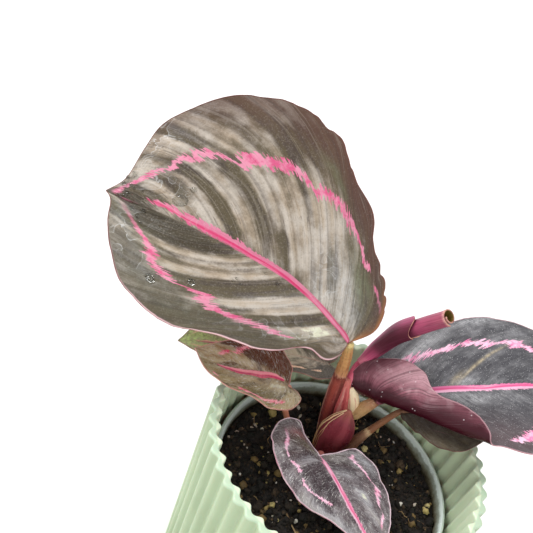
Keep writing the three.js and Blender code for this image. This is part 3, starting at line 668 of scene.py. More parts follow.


# What is drawn on each leaf. Side 1 is left of the midrib, -1 is right of it.
# rings: vein index, place from midrib (0) to margin (1), half width as a share of the leaf's half width.
# rib: place along the leaf, its offset, half width.
# patches: side, first and last vein index, first and last place across, light (above 0) or dark.
# blobs: side (0 is both, 2 and -2 go by the place along the leaf), vein index, place across, two sizes,
# channel (0 red, 1 green, 2 painted sheen, 3 amber, 4 residue, 5 hem), strength.
# scallops: side, first and last place along, waves in the leaf's length, depth.
# creases: the vein indices of the creases between the pleats.
LOOKS = {
    "main_leaf": dict(
        pleat=0.5, swell=0.6, ragged=0.016, groove=0.9, frill=0.5, bulge=0.8,
        scallops=[
            (-1, 0.04, 0.26, 23, 0.05), (-1, 0.42, 0.62, 11, 0.02)],
        patches=[
            (-1, -0.3, 0.14, 0.2, 0.8, -0.55), (1, 0.9, 1.1, -0.1, 1.1, -1.1),
            (-1, 0.9, 1.1, -0.1, 1.1, -1.0), (-1, 0.27, 0.41, 0.86, 1.1, 0.45),
            (-1, -0.3, 0.14, 0.74, 1.1, -0.55), (-1, 0.14, 0.385, 0.66, 1.1, -0.62),
            (-1, 0.39, 0.445, 0.58, 1.1, -0.55), (-1, 0.45, 0.52, 0.58, 1.1, -0.15),
            (-1, 0.52, 0.57, 0.6, 1.1, 0.2), (-1, 0.575, 0.615, 0.68, 0.97, -0.5),
            (-1, 0.62, 0.69, 0.72, 1.1, 0.3), (-1, 0.695, 0.72, 0.62, 0.97, -0.25),
            (-1, 0.725, 0.8, 0.66, 1.1, 0.35), (-1, 0.8, 0.86, 0.75, 1.1, -0.15),
            (-1, 0.14, 0.22, 0.12, 0.58, -0.15), (-1, 0.2, 0.33, 0.03, 0.28, 0.2),
            (-1, 0.3, 0.355, 0.14, 0.34, -0.5), (-1, 0.27, 0.42, 0.38, 0.56, 0.35),
            (-1, 0.345, 0.39, 0.02, 0.17, 0.45), (-1, 0.36, 0.445, 0.2, 0.4, 0.25),
            (-1, 0.4, 0.45, 0.43, 0.52, -0.3), (-1, 0.45, 0.53, 0.12, 0.44, 0.25),
            (-1, 0.53, 0.565, 0.08, 0.22, -0.5), (-1, 0.53, 0.58, 0.25, 0.5, 0.2),
            (-1, 0.587, 0.632, 0.1, 0.6, -0.42), (-1, 0.638, 0.675, 0.06, 0.56, 0.3),
            (-1, 0.678, 0.718, 0.05, 0.57, -0.65), (-1, 0.72, 0.747, 0.05, 0.5, 0.3),
            (-1, 0.75, 0.79, 0.26, 0.56, -0.4), (-1, 0.75, 0.79, 0.06, 0.22, 0.25),
            (-1, 0.79, 0.84, 0.14, 0.5, 0.35), (-1, 0.84, 0.92, 0.15, 0.74, -0.7),
            (1, 0.17, 0.275, 0.16, 0.42, 1.1), (1, 0.28, 0.348, 0.08, 0.52, -0.5),
            (1, 0.354, 0.4, 0.04, 0.4, 0.45), (1, 0.354, 0.41, 0.42, 0.56, -0.35),
            (1, 0.406, 0.46, 0.06, 0.46, 0.55), (1, 0.463, 0.553, 0.02, 0.62, -0.55),
            (1, 0.557, 0.6, 0.04, 0.62, 0.25), (1, 0.603, 0.64, 0.06, 0.44, 0.15),
            (1, 0.603, 0.64, 0.46, 0.62, -0.25), (1, 0.643, 0.68, 0.04, 0.56, 0.25),
            (1, 0.683, 0.76, 0.02, 0.66, -1.1), (1, 0.76, 0.93, 0.02, 0.62, -1.25),
            (1, -0.3, 0.4, 0.62, 1.1, -0.4), (1, 0.4, 0.46, 0.64, 1.1, -0.2),
            (1, 0.465, 0.51, 0.68, 0.82, -0.7), (1, 0.46, 0.53, 0.82, 1.1, -0.35),
            (1, 0.535, 0.6, 0.7, 1.1, -0.12), (1, 0.6, 0.67, 0.66, 1.1, 0.15),
            (1, 0.672, 0.72, 0.7, 1.1, -0.5), (1, 0.72, 0.8, 0.66, 1.1, -0.3),
            (1, 0.8, 0.95, 0.62, 1.1, 0.1)],
        creases={
            -1: (
                0.0, 0.1, 0.17, 0.24, 0.315, 0.36, 0.4, 0.445, 0.51, 0.548, 0.58, 0.615, 0.66, 0.705, 0.75,
                0.8, 0.85, 0.9, 1.0),
            1: (
                -0.1, 0.0, 0.1, 0.18, 0.23, 0.29, 0.35, 0.41, 0.46, 0.51, 0.555, 0.612, 0.645, 0.68, 0.73,
                0.78, 0.84, 0.9, 1.0)},
        rings={
            -1: [
                (-0.1, 0.98, 0.0), (-0.088, 0.98, 0.008), (-0.054, 0.864, 0.012), (-0.02, 0.79, 0.012),
                (0.013, 0.734, 0.016), (0.028, 0.72, 0.004), (0.04, 0.76, 0.004), (0.06, 0.745, 0.024),
                (0.1, 0.66, 0.018), (0.16, 0.62, 0.016), (0.2, 0.65, 0.028), (0.25, 0.625, 0.032),
                (0.3, 0.58, 0.018), (0.35, 0.557, 0.022), (0.394, 0.5, 0.018), (0.4, 0.535, 0.026),
                (0.45, 0.57, 0.036), (0.5, 0.543, 0.034), (0.55, 0.553, 0.046), (0.582, 0.49, 0.03),
                (0.588, 0.614, 0.036), (0.625, 0.643, 0.04), (0.66, 0.614, 0.034), (0.7, 0.632, 0.036),
                (0.728, 0.564, 0.016), (0.736, 0.625, 0.03), (0.77, 0.643, 0.055), (0.8, 0.66, 0.055),
                (0.822, 0.69, 0.055), (0.85, 0.724, 0.055), (0.877, 0.7, 0.075), (0.916, 0.6, 0.11),
                (0.95, 0.45, 0.18), (1.0, 0.3, 0.2)],
            1: [
                (0.0, 0.8, 0.0), (0.15, 0.6, 0.0), (0.188, 0.5, 0.004), (0.194, 0.535, 0.018),
                (0.24, 0.56, 0.04), (0.3, 0.57, 0.03), (0.35, 0.57, 0.034), (0.4, 0.59, 0.036),
                (0.44, 0.58, 0.04), (0.468, 0.52, 0.04), (0.485, 0.58, 0.012), (0.5, 0.645, 0.026),
                (0.53, 0.66, 0.036), (0.57, 0.67, 0.04), (0.62, 0.645, 0.036), (0.661, 0.653, 0.026),
                (0.697, 0.678, 0.024), (0.745, 0.709, 0.036), (0.798, 0.759, 0.062), (0.87, 0.65, 0.1),
                (0.954, 0.25, 0.3), (1.0, 0.2, 0.3)]},
        rib=[
            (0.0, 0.03, 0.06), (0.1, 0.04, 0.056), (0.26, 0.03, 0.031), (0.4, 0.0, 0.019),
            (0.54, -0.02, 0.016), (0.66, -0.02, 0.018), (0.73, -0.034, 0.026), (0.78, -0.045, 0.036),
            (0.83, -0.06, 0.036), (0.87, -0.11, 0.034), (0.9, -0.16, 0.026), (0.935, -0.21, 0.0),
            (1.0, -0.21, 0.0)],
        blobs=[
            (-1, 0.1, 0.95, 0.28, 0.3, 0, 1.0), (-1, 0.26, 0.95, 0.16, 0.28, 0, 0.8),
            (-1, 0.4, 1.0, 0.16, 0.24, 0, 0.7), (-1, 0.5, 1.02, 0.22, 0.14, 0, 0.5),
            (1, 0.0, 0.9, 0.12, 0.5, 0, 0.35), (-1, 0.15, 0.45, 0.07, 0.14, 1, 0.8),
            (-1, 0.27, 0.72, 0.05, 0.05, 1, 0.6), (-1, 0.08, 0.6, 0.06, 0.1, 1, 0.6),
            (1, 0.45, 0.8, 0.5, 0.25, 1, 0.35), (1, 0.2, 0.45, 0.06, 0.2, 1, 0.5),
            (-1, 0.22, 0.2, 0.14, 0.22, 2, 0.7), (1, 0.22, 0.27, 0.045, 0.14, 2, 0.9),
            (1, 0.42, 0.18, 0.05, 0.22, 2, 0.5), (-1, 0.4, 0.08, 0.04, 0.1, 2, 0.5),
            (1, 0.55, 0.8, 0.14, 0.1, 2, 0.3), (-2, 0.0, 0.7, 0.055, 0.5, 3, 0.95),
            (-2, 0.06, 1.0, 0.1, 0.1, 3, 0.7), (2, 0.0, 0.2, 0.02, 0.3, 3, 0.4),
            (1, 0.8, 0.6, 0.07, 0.25, 4, 0.8), (-1, 0.8, 0.4, 0.05, 0.3, 4, 0.8),
            (1, 0.6, 0.84, 0.1, 0.12, 4, 1.0), (-1, 0.66, 0.92, 0.12, 0.12, 4, 0.8),
            (1, 0.22, 0.45, 0.12, 0.25, 4, 0.6), (-1, 0.34, 0.14, 0.1, 0.2, 4, 0.6),
            (1, 0.05, 1.0, 0.32, 0.12, 5, 1.0), (1, 0.3, 1.0, 0.12, 0.12, 5, 0.9)]),
    "left_leaf": dict(
        creases=even_creases(11), pleat=0.19, swell=0.35, groove=0.35, frill=0.35, bulge=0.4, pucker=0.12,
        patches=[
            (-1, -0.3, 0.6, 0.25, 1.1, -0.5), (1, 0.18, 0.4, 0.1, 0.32, 0.9),
            (1, 0.46, 0.6, 0.24, 0.38, 0.7), (-1, 0.62, 0.82, 0.02, 0.12, 0.92),
            (1, 0.2, 0.42, 0.45, 0.72, -0.35), (1, 0.55, 0.95, 0.4, 1.1, 0.3),
            (1, 0.05, 0.2, 0.6, 1.1, 0.8), (-1, 0.62, 1.1, 0.14, 1.1, 0.55),
            (1, 0.8, 1.1, -0.1, 1.1, 0.55)],
        rings={
            -1: [
                (0.38, 0.7, 0.0), (0.45, 0.66, 0.05), (0.52, 0.6, 0.05), (0.58, 0.52, 0.05),
                (0.63, 0.43, 0.06), (0.668, 0.36, 0.02), (0.675, 0.48, 0.03), (0.7, 0.45, 0.07),
                (0.76, 0.32, 0.05), (0.82, 0.2, 0.03), (0.87, 0.1, 0.0)],
            1: [
                (0.14, 0.74, 0.0), (0.18, 0.73, 0.05), (0.25, 0.715, 0.06), (0.31, 0.78, 0.05),
                (0.37, 0.85, 0.03), (0.42, 0.85, 0.04), (0.47, 0.8, 0.0), (0.55, 0.86, 0.0),
                (0.62, 0.85, 0.025), (0.68, 0.79, 0.0)]},
        rib=[
            (0.0, -0.2, 0.0), (0.22, -0.17, 0.0), (0.28, -0.14, 0.05), (0.38, -0.1, 0.06),
            (0.46, -0.06, 0.07), (0.55, 0.03, 0.08), (0.64, 0.1, 0.075), (0.74, 0.23, 0.07),
            (0.82, 0.33, 0.05), (0.87, 0.38, 0.0), (1.0, 0.38, 0.0)],
        blobs=[
            (-1, 0.3, 0.65, 0.3, 0.5, 0, 1.0), (1, 0.35, 0.55, 0.25, 0.4, 1, 0.8),
            (1, 0.7, 0.7, 0.25, 0.4, 1, 0.7), (-1, 0.62, 0.12, 0.12, 0.1, 2, 0.5),
            (1, 0.3, 0.25, 0.16, 0.22, 2, 0.4), (1, 0.62, 0.35, 0.15, 0.2, 2, 0.3)]),
    "front_leaf": dict(
        creases=even_creases(12), pleat=0.16, swell=0.4, groove=0.5, frill=0.45, bulge=0.4, pucker=0.12,
        patches=[
            (-1, 0.13, 0.6, 0.08, 0.55, -0.35), (-1, -0.1, 0.1, 0.3, 0.8, -0.2),
            (-1, 0.36, 0.66, 0.66, 1.1, 0.8), (1, 0.28, 0.4, 0.08, 0.42, -0.35),
            (1, 0.54, 0.6, 0.26, 0.44, 0.95), (1, 0.64, 0.7, 0.3, 0.9, 0.8),
            (1, 0.12, 0.34, 0.66, 1.1, -0.2), (-1, 0.24, 0.28, 0.1, 0.6, 0.5)],
        rings={
            -1: [
                (0.0, 0.93, 0.0), (0.04, 0.875, 0.014), (0.1, 0.78, 0.018), (0.15, 0.77, 0.016),
                (0.2, 0.74, 0.01), (0.205, 0.74, 0.0), (0.22, 0.72, 0.0), (0.226, 0.714, 0.02),
                (0.27, 0.625, 0.028), (0.305, 0.59, 0.03), (0.31, 0.6, 0.0), (0.335, 0.61, 0.0),
                (0.345, 0.607, 0.022), (0.4, 0.6, 0.022), (0.45, 0.55, 0.018), (0.49, 0.48, 0.022),
                (0.54, 0.41, 0.03), (0.585, 0.35, 0.02), (0.6, 0.34, 0.0), (1.0, 0.3, 0.0)],
            1: [
                (0.12, 0.68, 0.0), (0.15, 0.66, 0.02), (0.19, 0.57, 0.035), (0.24, 0.56, 0.032),
                (0.29, 0.625, 0.03), (0.34, 0.68, 0.02), (0.355, 0.69, 0.0), (0.362, 0.75, 0.03),
                (0.4, 0.75, 0.045), (0.46, 0.68, 0.03), (0.53, 0.66, 0.02), (0.54, 0.74, 0.0),
                (0.56, 0.77, 0.025), (0.62, 0.72, 0.028), (0.69, 0.68, 0.02), (0.76, 0.66, 0.0),
                (1.0, 0.6, 0.0)]},
        rib=[
            (0.0, 0.0, 0.04), (0.16, -0.04, 0.042), (0.28, -0.01, 0.036), (0.45, -0.01, 0.028),
            (0.56, -0.02, 0.025), (0.68, -0.05, 0.03), (0.78, -0.1, 0.045), (0.87, -0.17, 0.06),
            (0.95, -0.2, 0.03), (1.0, -0.1, 0.0)],
        blobs=[
            (-1, 0.05, 0.45, 0.09, 0.3, 1, 0.8), (-1, 0.02, 0.75, 0.05, 0.1, 0, 0.7),
            (1, 0.15, 0.25, 0.12, 0.25, 1, 0.5), (1, 0.18, 0.78, 0.07, 0.12, 2, 0.8),
            (1, 0.58, 0.35, 0.06, 0.14, 2, 0.8), (-1, 0.25, 0.35, 0.03, 0.25, 2, 0.6),
            (1, 0.43, 0.22, 0.04, 0.15, 2, 0.5), (-1, 0.62, 0.75, 0.2, 0.2, 2, 0.6)]),
    "right_leaf": dict(
        creases=even_creases(15), pleat=0.35, swell=0.35, groove=0.5, frill=0.4, bulge=0.6,
        rings={
            1: [
                (0.16, 0.62, 0.0), (0.21, 0.59, 0.03), (0.27, 0.52, 0.045), (0.32, 0.5, 0.04),
                (0.37, 0.507, 0.035), (0.416, 0.5, 0.045), (0.422, 0.55, 0.03), (0.46, 0.57, 0.04),
                (0.5, 0.553, 0.04), (0.53, 0.525, 0.045), (0.537, 0.6, 0.035), (0.57, 0.645, 0.06),
                (0.608, 0.61, 0.06), (0.614, 0.66, 0.03), (0.68, 0.65, 0.045), (0.72, 0.6, 0.03),
                (0.726, 0.67, 0.03), (0.8, 0.68, 0.045), (0.88, 0.72, 0.03), (1.0, 0.72, 0.03)],
            -1: [
                (0.14, 0.62, 0.02), (0.24, 0.64, 0.04), (0.34, 0.66, 0.03), (0.4, 0.78, 0.0),
                (0.47, 0.84, 0.0), (0.53, 0.76, 0.03), (0.6, 0.67, 0.07), (0.65, 0.62, 0.06),
                (0.656, 0.7, 0.03), (0.73, 0.66, 0.045), (0.8, 0.66, 0.04), (0.88, 0.72, 0.03),
                (1.0, 0.72, 0.03)]},
        rib=[
            (0.0, 0.0, 0.05), (0.2, 0.0, 0.05), (0.48, 0.02, 0.035), (0.6, 0.01, 0.03), (0.69, 0.0, 0.03),
            (0.78, 0.02, 0.035), (0.86, 0.05, 0.035), (0.93, 0.05, 0.02), (0.96, 0.05, 0.0),
            (1.0, 0.05, 0.0)],
        patches=[
            (1, 0.16, 0.3, 0.55, 0.9, 0.35), (1, 0.3, 0.37, 0.34, 0.5, 0.45),
            (-1, 0.3, 0.9, 0.12, 1.1, -0.35), (1, 0.45, 0.55, 0.1, 0.45, -0.15),
            (1, 0.6, 0.8, 0.1, 0.5, -0.2)],
        blobs=[
            (1, 0.572, 0.3, 0.007, 0.26, 1, 1.2), (1, 0.55, 0.12, 0.014, 0.07, 1, 0.8),
            (1, 0.6, 0.08, 0.04, 0.06, 2, 0.5), (-1, 0.6, 0.14, 0.05, 0.08, 2, 0.5),
            (1, 0.24, 0.66, 0.06, 0.14, 2, 0.8), (-1, 0.6, 0.12, 0.1, 0.1, 2, 0.4),
            (1, 0.32, 0.92, 0.05, 0.08, 2, 0.6), (-1, 0.45, 0.8, 0.3, 0.4, 0, 0.6)]),
    "lower_leaf": dict(
        creases=even_creases(11), pleat=0.16, swell=0.25, groove=0.3, frill=0.3, bulge=0.4,
        rings={
            1: [
                (0.15, 0.62, 0.03), (0.5, 0.6, 0.04), (0.8, 0.64, 0.03)],
            -1: [
                (0.0, 0.45, 0.0), (0.15, 0.45, 0.004), (0.5, 0.44, 0.006), (0.8, 0.5, 0.0)]},
        rib=[
            (0.0, 0.0, 0.05), (0.5, 0.0, 0.04), (0.9, 0.0, 0.03), (1.0, 0.0, 0.0)],
        blobs=[
            (0, 0.3, 0.3, 0.3, 0.4, 0, 0.3), (-1, 0.5, 0.8, 0.3, 0.3, 1, 0.2)]),
    "rear_leaf": dict(
        creases=even_creases(13), pleat=0.24, swell=0.25, groove=0.4, frill=0.3, bulge=0.4,
        patches=[
            (1, 0.47, 0.66, -0.1, 0.5, 0.7), (-1, 0.47, 0.66, -0.1, 0.5, 0.7),
            (1, -0.3, 0.24, 0.2, 1.1, -0.8), (1, 0.36, 0.41, 0.1, 0.6, 0.4),
            (1, 0.24, 0.34, 0.5, 1.1, -0.5), (-1, -0.3, 0.4, 0.1, 1.1, -0.5)],
        rings={
            1: [
                (0.14, 0.52, 0.0), (0.17, 0.51, 0.05), (0.21, 0.5, 0.04), (0.24, 0.56, 0.0),
                (0.28, 0.63, 0.05), (0.33, 0.64, 0.06), (0.37, 0.62, 0.03), (0.4, 0.6, 0.0),
                (0.5, 0.56, 0.08), (0.62, 0.5, 0.13), (0.75, 0.5, 0.13), (0.85, 0.55, 0.06)],
            -1: [
                (0.3, 0.6, 0.0), (0.4, 0.58, 0.03), (0.5, 0.6, 0.05), (0.7, 0.64, 0.05),
                (0.85, 0.66, 0.03)]},
        rib=[
            (0.0, 0.0, 0.1), (0.06, 0.0, 0.07), (0.12, 0.0, 0.012), (0.6, 0.0, 0.008), (0.75, 0.0, 0.04),
            (0.9, 0.0, 0.06), (1.0, 0.0, 0.02)],
        # the green at the far end is painted light shining through the thin leaf
        blobs=[
            (0, 1.0, 0.5, 0.34, 1.2, 1, 1.1)]),
}


# Leaf materials

VEINS_PER_LEAF, WIDTH_ACROSS = 110.0, 12.0       # stretch the vein index and place across to millimetres
NIGHT = srgb(44, 36, 14)                         # the darkest patches
GLARE = srgb(222, 222, 196)                      # painted glare, laid on the lightest patches
TEETH, FRINGE = 2.2, 0.9     # how far the ring's and the midrib's edges are feathered, in millimetres


def leaf_top(name, light, silver, dark, deep, red, green, sheen_glare, pink, pale, margin, speckle, gloss,
             scale=1.0, contrast=0.3, patchy=1.0, rough_bands=1.0, rib_deep=(190, 40, 92), rib_change=0.45,
             margin_wide=0.5, hem=None, residue=0.0, outer_shade=0.0, flecks_and_glints=0.0):
    """The patterned upper face. Colours are in display numbers. contrast, patchy and rough_bands say how
    strong the painted shade on the pleats, the patches and the uneven bands are, and scale is smaller for a
    smaller leaf."""
    light, silver, dark, deep, red, green, sheen_glare, pink, pale, margin, rib_deep = shades(
        light, silver, dark, deep, red, green, sheen_glare, pink, pale, margin, rib_deep)
    g = Nodes(name)
    u, w, side = g.attribute("vein")
    a, b, edge = g.attribute("spot")
    ring, ring_half, s = g.attribute("ring")
    rib, rib_half, _ = g.attribute("rib")
    tint_red, tint_green, tint_sheen_glare = g.attribute("tint")
    tint_amber, tint_residue, tint_hem = g.attribute("mark")
    ridge, slant, _ = g.attribute("pleat")
    shade, _, _ = g.attribute("shade")
    spot = g.pack(a, b, side)
    # coordinates that run with the veins, in millimetres
    strand = g.pack(g.mul(u, VEINS_PER_LEAF * scale), g.mul(w, WIDTH_ACROSS * scale), g.mul(side, 5.0))
    fine = g.noise(strand, 1.0, 3.0, 0.6, stretch=(1.1, 0.35, 1.0))
    streak = g.noise(strand, 1.0, 2.0, 0.6, stretch=(2.2, 0.4, 1.0))
    broad = g.noise(strand, 1.0, 3.0, 0.55, stretch=(0.28, 0.22, 1.0))
    blotch = g.noise(strand, 1.0, 2.0, 0.5, stretch=(0.36, 1.1, 1.0))
    cloudy = g.noise(spot, 0.09 / scale, 3.0, 0.55)
    mottle = g.noise(spot, 0.5 / scale, 4.0, 0.65)
    grain = g.noise(spot, 1.6, 3.0, 0.7)
    # light and dark patches between the side veins
    band = g.add(0.5, g.mul(shade, patchy))
    # painted shade on the pleats: crowns lighter than the creases, one flank lighter and the other darker
    band = g.add(band, g.add(g.mul(g.sub(ridge, 0.75), 0.18 * contrast), g.mul(slant, 0.14 * contrast)))
    for noise, amount in ((streak, 0.25), (fine, 0.22), (blotch, 1.0), (mottle, 0.9)):
        band = g.add(band, g.mul(g.sub(noise, 0.5), amount * rough_bands))
    band = g.add(band, g.mul(g.sub(broad, 0.5), 0.6))
    band = g.add(band, g.mul(g.sub(cloudy, 0.5), 0.7))
    pale_skin = g.mix(light, silver, g.step(g.blend(cloudy, 0.5, broad, 0.5), 0.42, 0.58))
    dark_skin = g.mix(dark, deep, g.step(g.blend(mottle, 0.3, broad, 0.7), 0.42, 0.6))
    colour = g.mix(dark_skin, pale_skin, g.step(band, 0.1, 0.95))
    colour = g.mix(colour, NIGHT, g.step(shade, -0.7, -1.1, 0.0, 0.8))
    colour = g.wash(colour, dark, g.step(grain, 0.52, 0.72), 0.32)
    colour = g.wash(colour, silver, g.step(grain, 0.5, 0.28), 0.22)
    colour = g.wash(colour, red, tint_red, g.step(g.blend(mottle, 1.0, fine, 0.5), 0.2, 0.9, 0.65, 1.0))
    colour = g.wash(colour, green, tint_green, g.step(mottle, 0.3, 0.7, 0.35, 1.0))
    # a pale painted sheen where the sheen blobs lie
    colour = g.wash(colour, sheen_glare, tint_sheen_glare,
                    g.step(g.blend(streak, 0.5, mottle, 0.5), 0.35, 0.65, 0.15, 1.0))
    if outer_shade:
        outside = g.mul(g.step(ring, 0.0, 4.0), g.step(side, -0.5, 0.5))
        colour = g.wash(colour, deep, outside, outer_shade)
    # dark threads along the side veins, on one side of each a paler line; the creases between the pleats
    # are darkened too, partly the veins' own colour and partly painted crease shade
    thread = g.noise(strand, 1.0, 1.0, 0.5, stretch=(0.42, 0.05, 1.0))
    line = g.near(thread, 0.5, 0.0, 0.014)
    furrow = g.mul(g.step(ridge, 0.1, 0.34, 1.0, 0.0),
                   g.step(g.blend(broad, 1.0, mottle, 0.4), 0.5, 0.8, 0.2, 1.0))
    line = g.most(g.mul(line, g.step(mottle, 0.4, 0.6)), g.mul(furrow, contrast))
    colour = g.wash(colour, deep, line, 0.6)
    # painted glare highlight on the lightest patches
    glare = g.mul(g.step(shade, 0.75, 1.0), g.step(g.blend(mottle, 0.6, streak, 0.4), 0.38, 0.5))
    colour = g.wash(colour, GLARE, glare, 0.85)
    colour = g.wash(colour, silver, g.near(thread, 0.53, 0.0, 0.02), 0.14)
    # pale specks
    specks = g.step(g.cells(spot, 1.1 / scale), 0.1, 0.26, 1.0, 0.0)
    specks = g.mul(specks, g.step(g.noise(spot, 0.35 / scale, 2.0), 0.4, 0.56))
    colour = g.wash(colour, (0.86, 0.86, 0.86), specks, speckle)
    dust = g.step(g.noise(spot, 2.2 / scale, 3.0, 0.7), 0.56, 0.74)
    colour = g.wash(colour, (0.6, 0.58, 0.6), dust, speckle * 0.4)
    # pale flecks: scratches, and painted highlights off the wet film
    if flecks_and_glints:
        strokes = g.noise(strand, 1.0, 2.0, 0.65, stretch=(1.0 / scale, 0.55 / scale, 1.0))
        strokes = g.mul(g.step(strokes, 0.585, 0.66), g.step(cloudy, 0.4, 0.56, 0.25, 1.0))
        colour = g.wash(colour, srgb(206, 202, 198), strokes, flecks_and_glints)
    # the ring, with a feathered edge of strips that follow the veins
    tooth = g.split(g.cells(g.stretched(strand, (1.6 / scale, 0.03, 1.0)), 1.0, out="Color"))
    feather = g.noise(strand, 1.0, 2.0, 0.7, stretch=(1.5, 0.3, 1.0))
    ragged = g.add(g.mul(g.sub(tooth[0], 0.5), TEETH * scale),
                   g.mul(g.sub(feather, 0.5), TEETH * 1.3 * scale))
    wide = g.add(ring_half, g.mul(g.sub(tooth[1], 0.6), g.math("MINIMUM", ring_half, 0.9 * scale)))
    ragged = g.mul(ragged, g.step(ring_half, 0.3 * scale, 1.5 * scale, 0.15, 1.0))
    lone = g.sub(g.size(g.add(ring, ragged)), wide)
    ring_mask = g.mul(g.step(lone, -0.08, 0.2, 1.0, 0.0), g.step(ring_half, 0.12 * scale, 0.4 * scale))
    bits = g.noise(strand, 1.0, 2.0, 0.6, stretch=(1.6, 0.8, 1.0))
    bits = g.mul(g.step(lone, 2.4 * scale, 0.6 * scale), g.step(bits, 0.68, 0.74))
    pinks = g.mix(pink, pale, g.step(g.blend(mottle, 0.5, broad, 0.6), 0.42, 0.62))
    pinks = g.wash(pinks, deep, g.step(streak, 0.42, 0.22), 0.35)
    ring_mask = g.most(ring_mask, g.mul(g.mul(bits, 0.8), g.step(ring_half, 0.1, 0.5)))
    colour = g.wash(colour, pinks, ring_mask, g.step(fine, 0.25, 0.42, 0.78, 1.0))
    # the midrib: plain and paler at the base, with feathered flanks further on
    fringe = g.mul(g.add(g.sub(tooth[2], 0.5), g.sub(fine, 0.5)), FRINGE * scale)
    fringe = g.mul(fringe, g.mul(g.step(s, 0.5, 0.75), g.step(side, 0.5, -0.5, 0.35, 1.0)))
    rib_mask = g.mul(g.step(g.sub(g.size(g.add(rib, fringe)), rib_half), -0.05, 0.2, 1.0, 0.0),
                     g.step(rib_half, 0.05, 0.25))
    run = g.noise(g.pack(g.mul(rib, 2.2), g.mul(a, 0.06), 3.0), 1.0, 2.0, 0.6)
    # a deep line low on the far half, and on the near half a deep edge on each side of a pale middle
    far = g.step(s, rib_change - 0.04, rib_change + 0.04)
    deep_line = g.near(rib, g.mul(rib_half, 0.3), 0.1, 0.45)
    deep_sides = g.near(g.size(rib), g.mul(rib_half, 0.85), 0.05, 0.3)
    upper = g.step(rib, 0.1, -0.5)
    rib_colour = g.mix(g.mix(pale, pink, 0.25), g.mix(pink, pale, g.mul(upper, 0.75)), far)
    rib_colour = g.wash(rib_colour, rib_deep, deep_line, g.mul(far, 0.85))
    rib_colour = g.wash(rib_colour, g.mix(rib_deep, pink, 0.4), deep_sides, g.sub(0.75, g.mul(far, 0.75)))
    rib_colour = g.mix(rib_colour, pale, g.step(run, 0.5, 0.7, 0.0, 0.6))
    rib_colour = g.wash(rib_colour, rib_deep, g.step(run, 0.48, 0.3), 0.4)
    colour = g.mix(colour, rib_colour, rib_mask)
    # amber base, dried rims of old drops, and the margin
    colour = g.mix(colour, g.mix(srgb(150, 82, 34), srgb(196, 132, 66), fine), tint_amber)
    if residue:
        swirl = g.noise(spot, 0.13 / scale, 2.0, 0.5, distortion=1.2)
        amount = g.mul(tint_residue, g.step(mottle, 0.3, 0.55, 0.4, 1.0))
        for tone, mask, strength in (
                (srgb(214, 215, 216), g.near(swirl, 0.5, 0.004, 0.022), residue),
                (srgb(168, 170, 172), g.step(swirl, 0.5, 0.54), residue * 0.3 * scale),
                (deep, g.step(swirl, 0.47, 0.4), residue * 0.6 * scale)):
            colour = g.wash(colour, tone, g.mul(mask, amount), strength)
    colour = g.wash(colour, margin, g.step(edge, 0.0, margin_wide, 1.0, 0.0), 0.8)
    if hem:
        colour = g.wash(colour, srgb(*hem), g.step(edge, 0.15, margin_wide * 1.4, 1.0, 0.0), tint_hem)
    rough = g.add(gloss, g.mul(g.sub(mottle, 0.5), 0.3))
    rough = g.add(rough, g.mul(tint_sheen_glare, 0.12))
    relief = g.add(g.mul(streak, 0.4), g.add(g.mul(line, -0.5), g.blend(mottle, 0.5, grain, 0.35)))
    return g.finish(colour, rough, g.bump(relief, 0.5, 0.0005), Coat_Weight=0.08, Coat_Roughness=0.25,
                    Specular_IOR_Level=0.3)


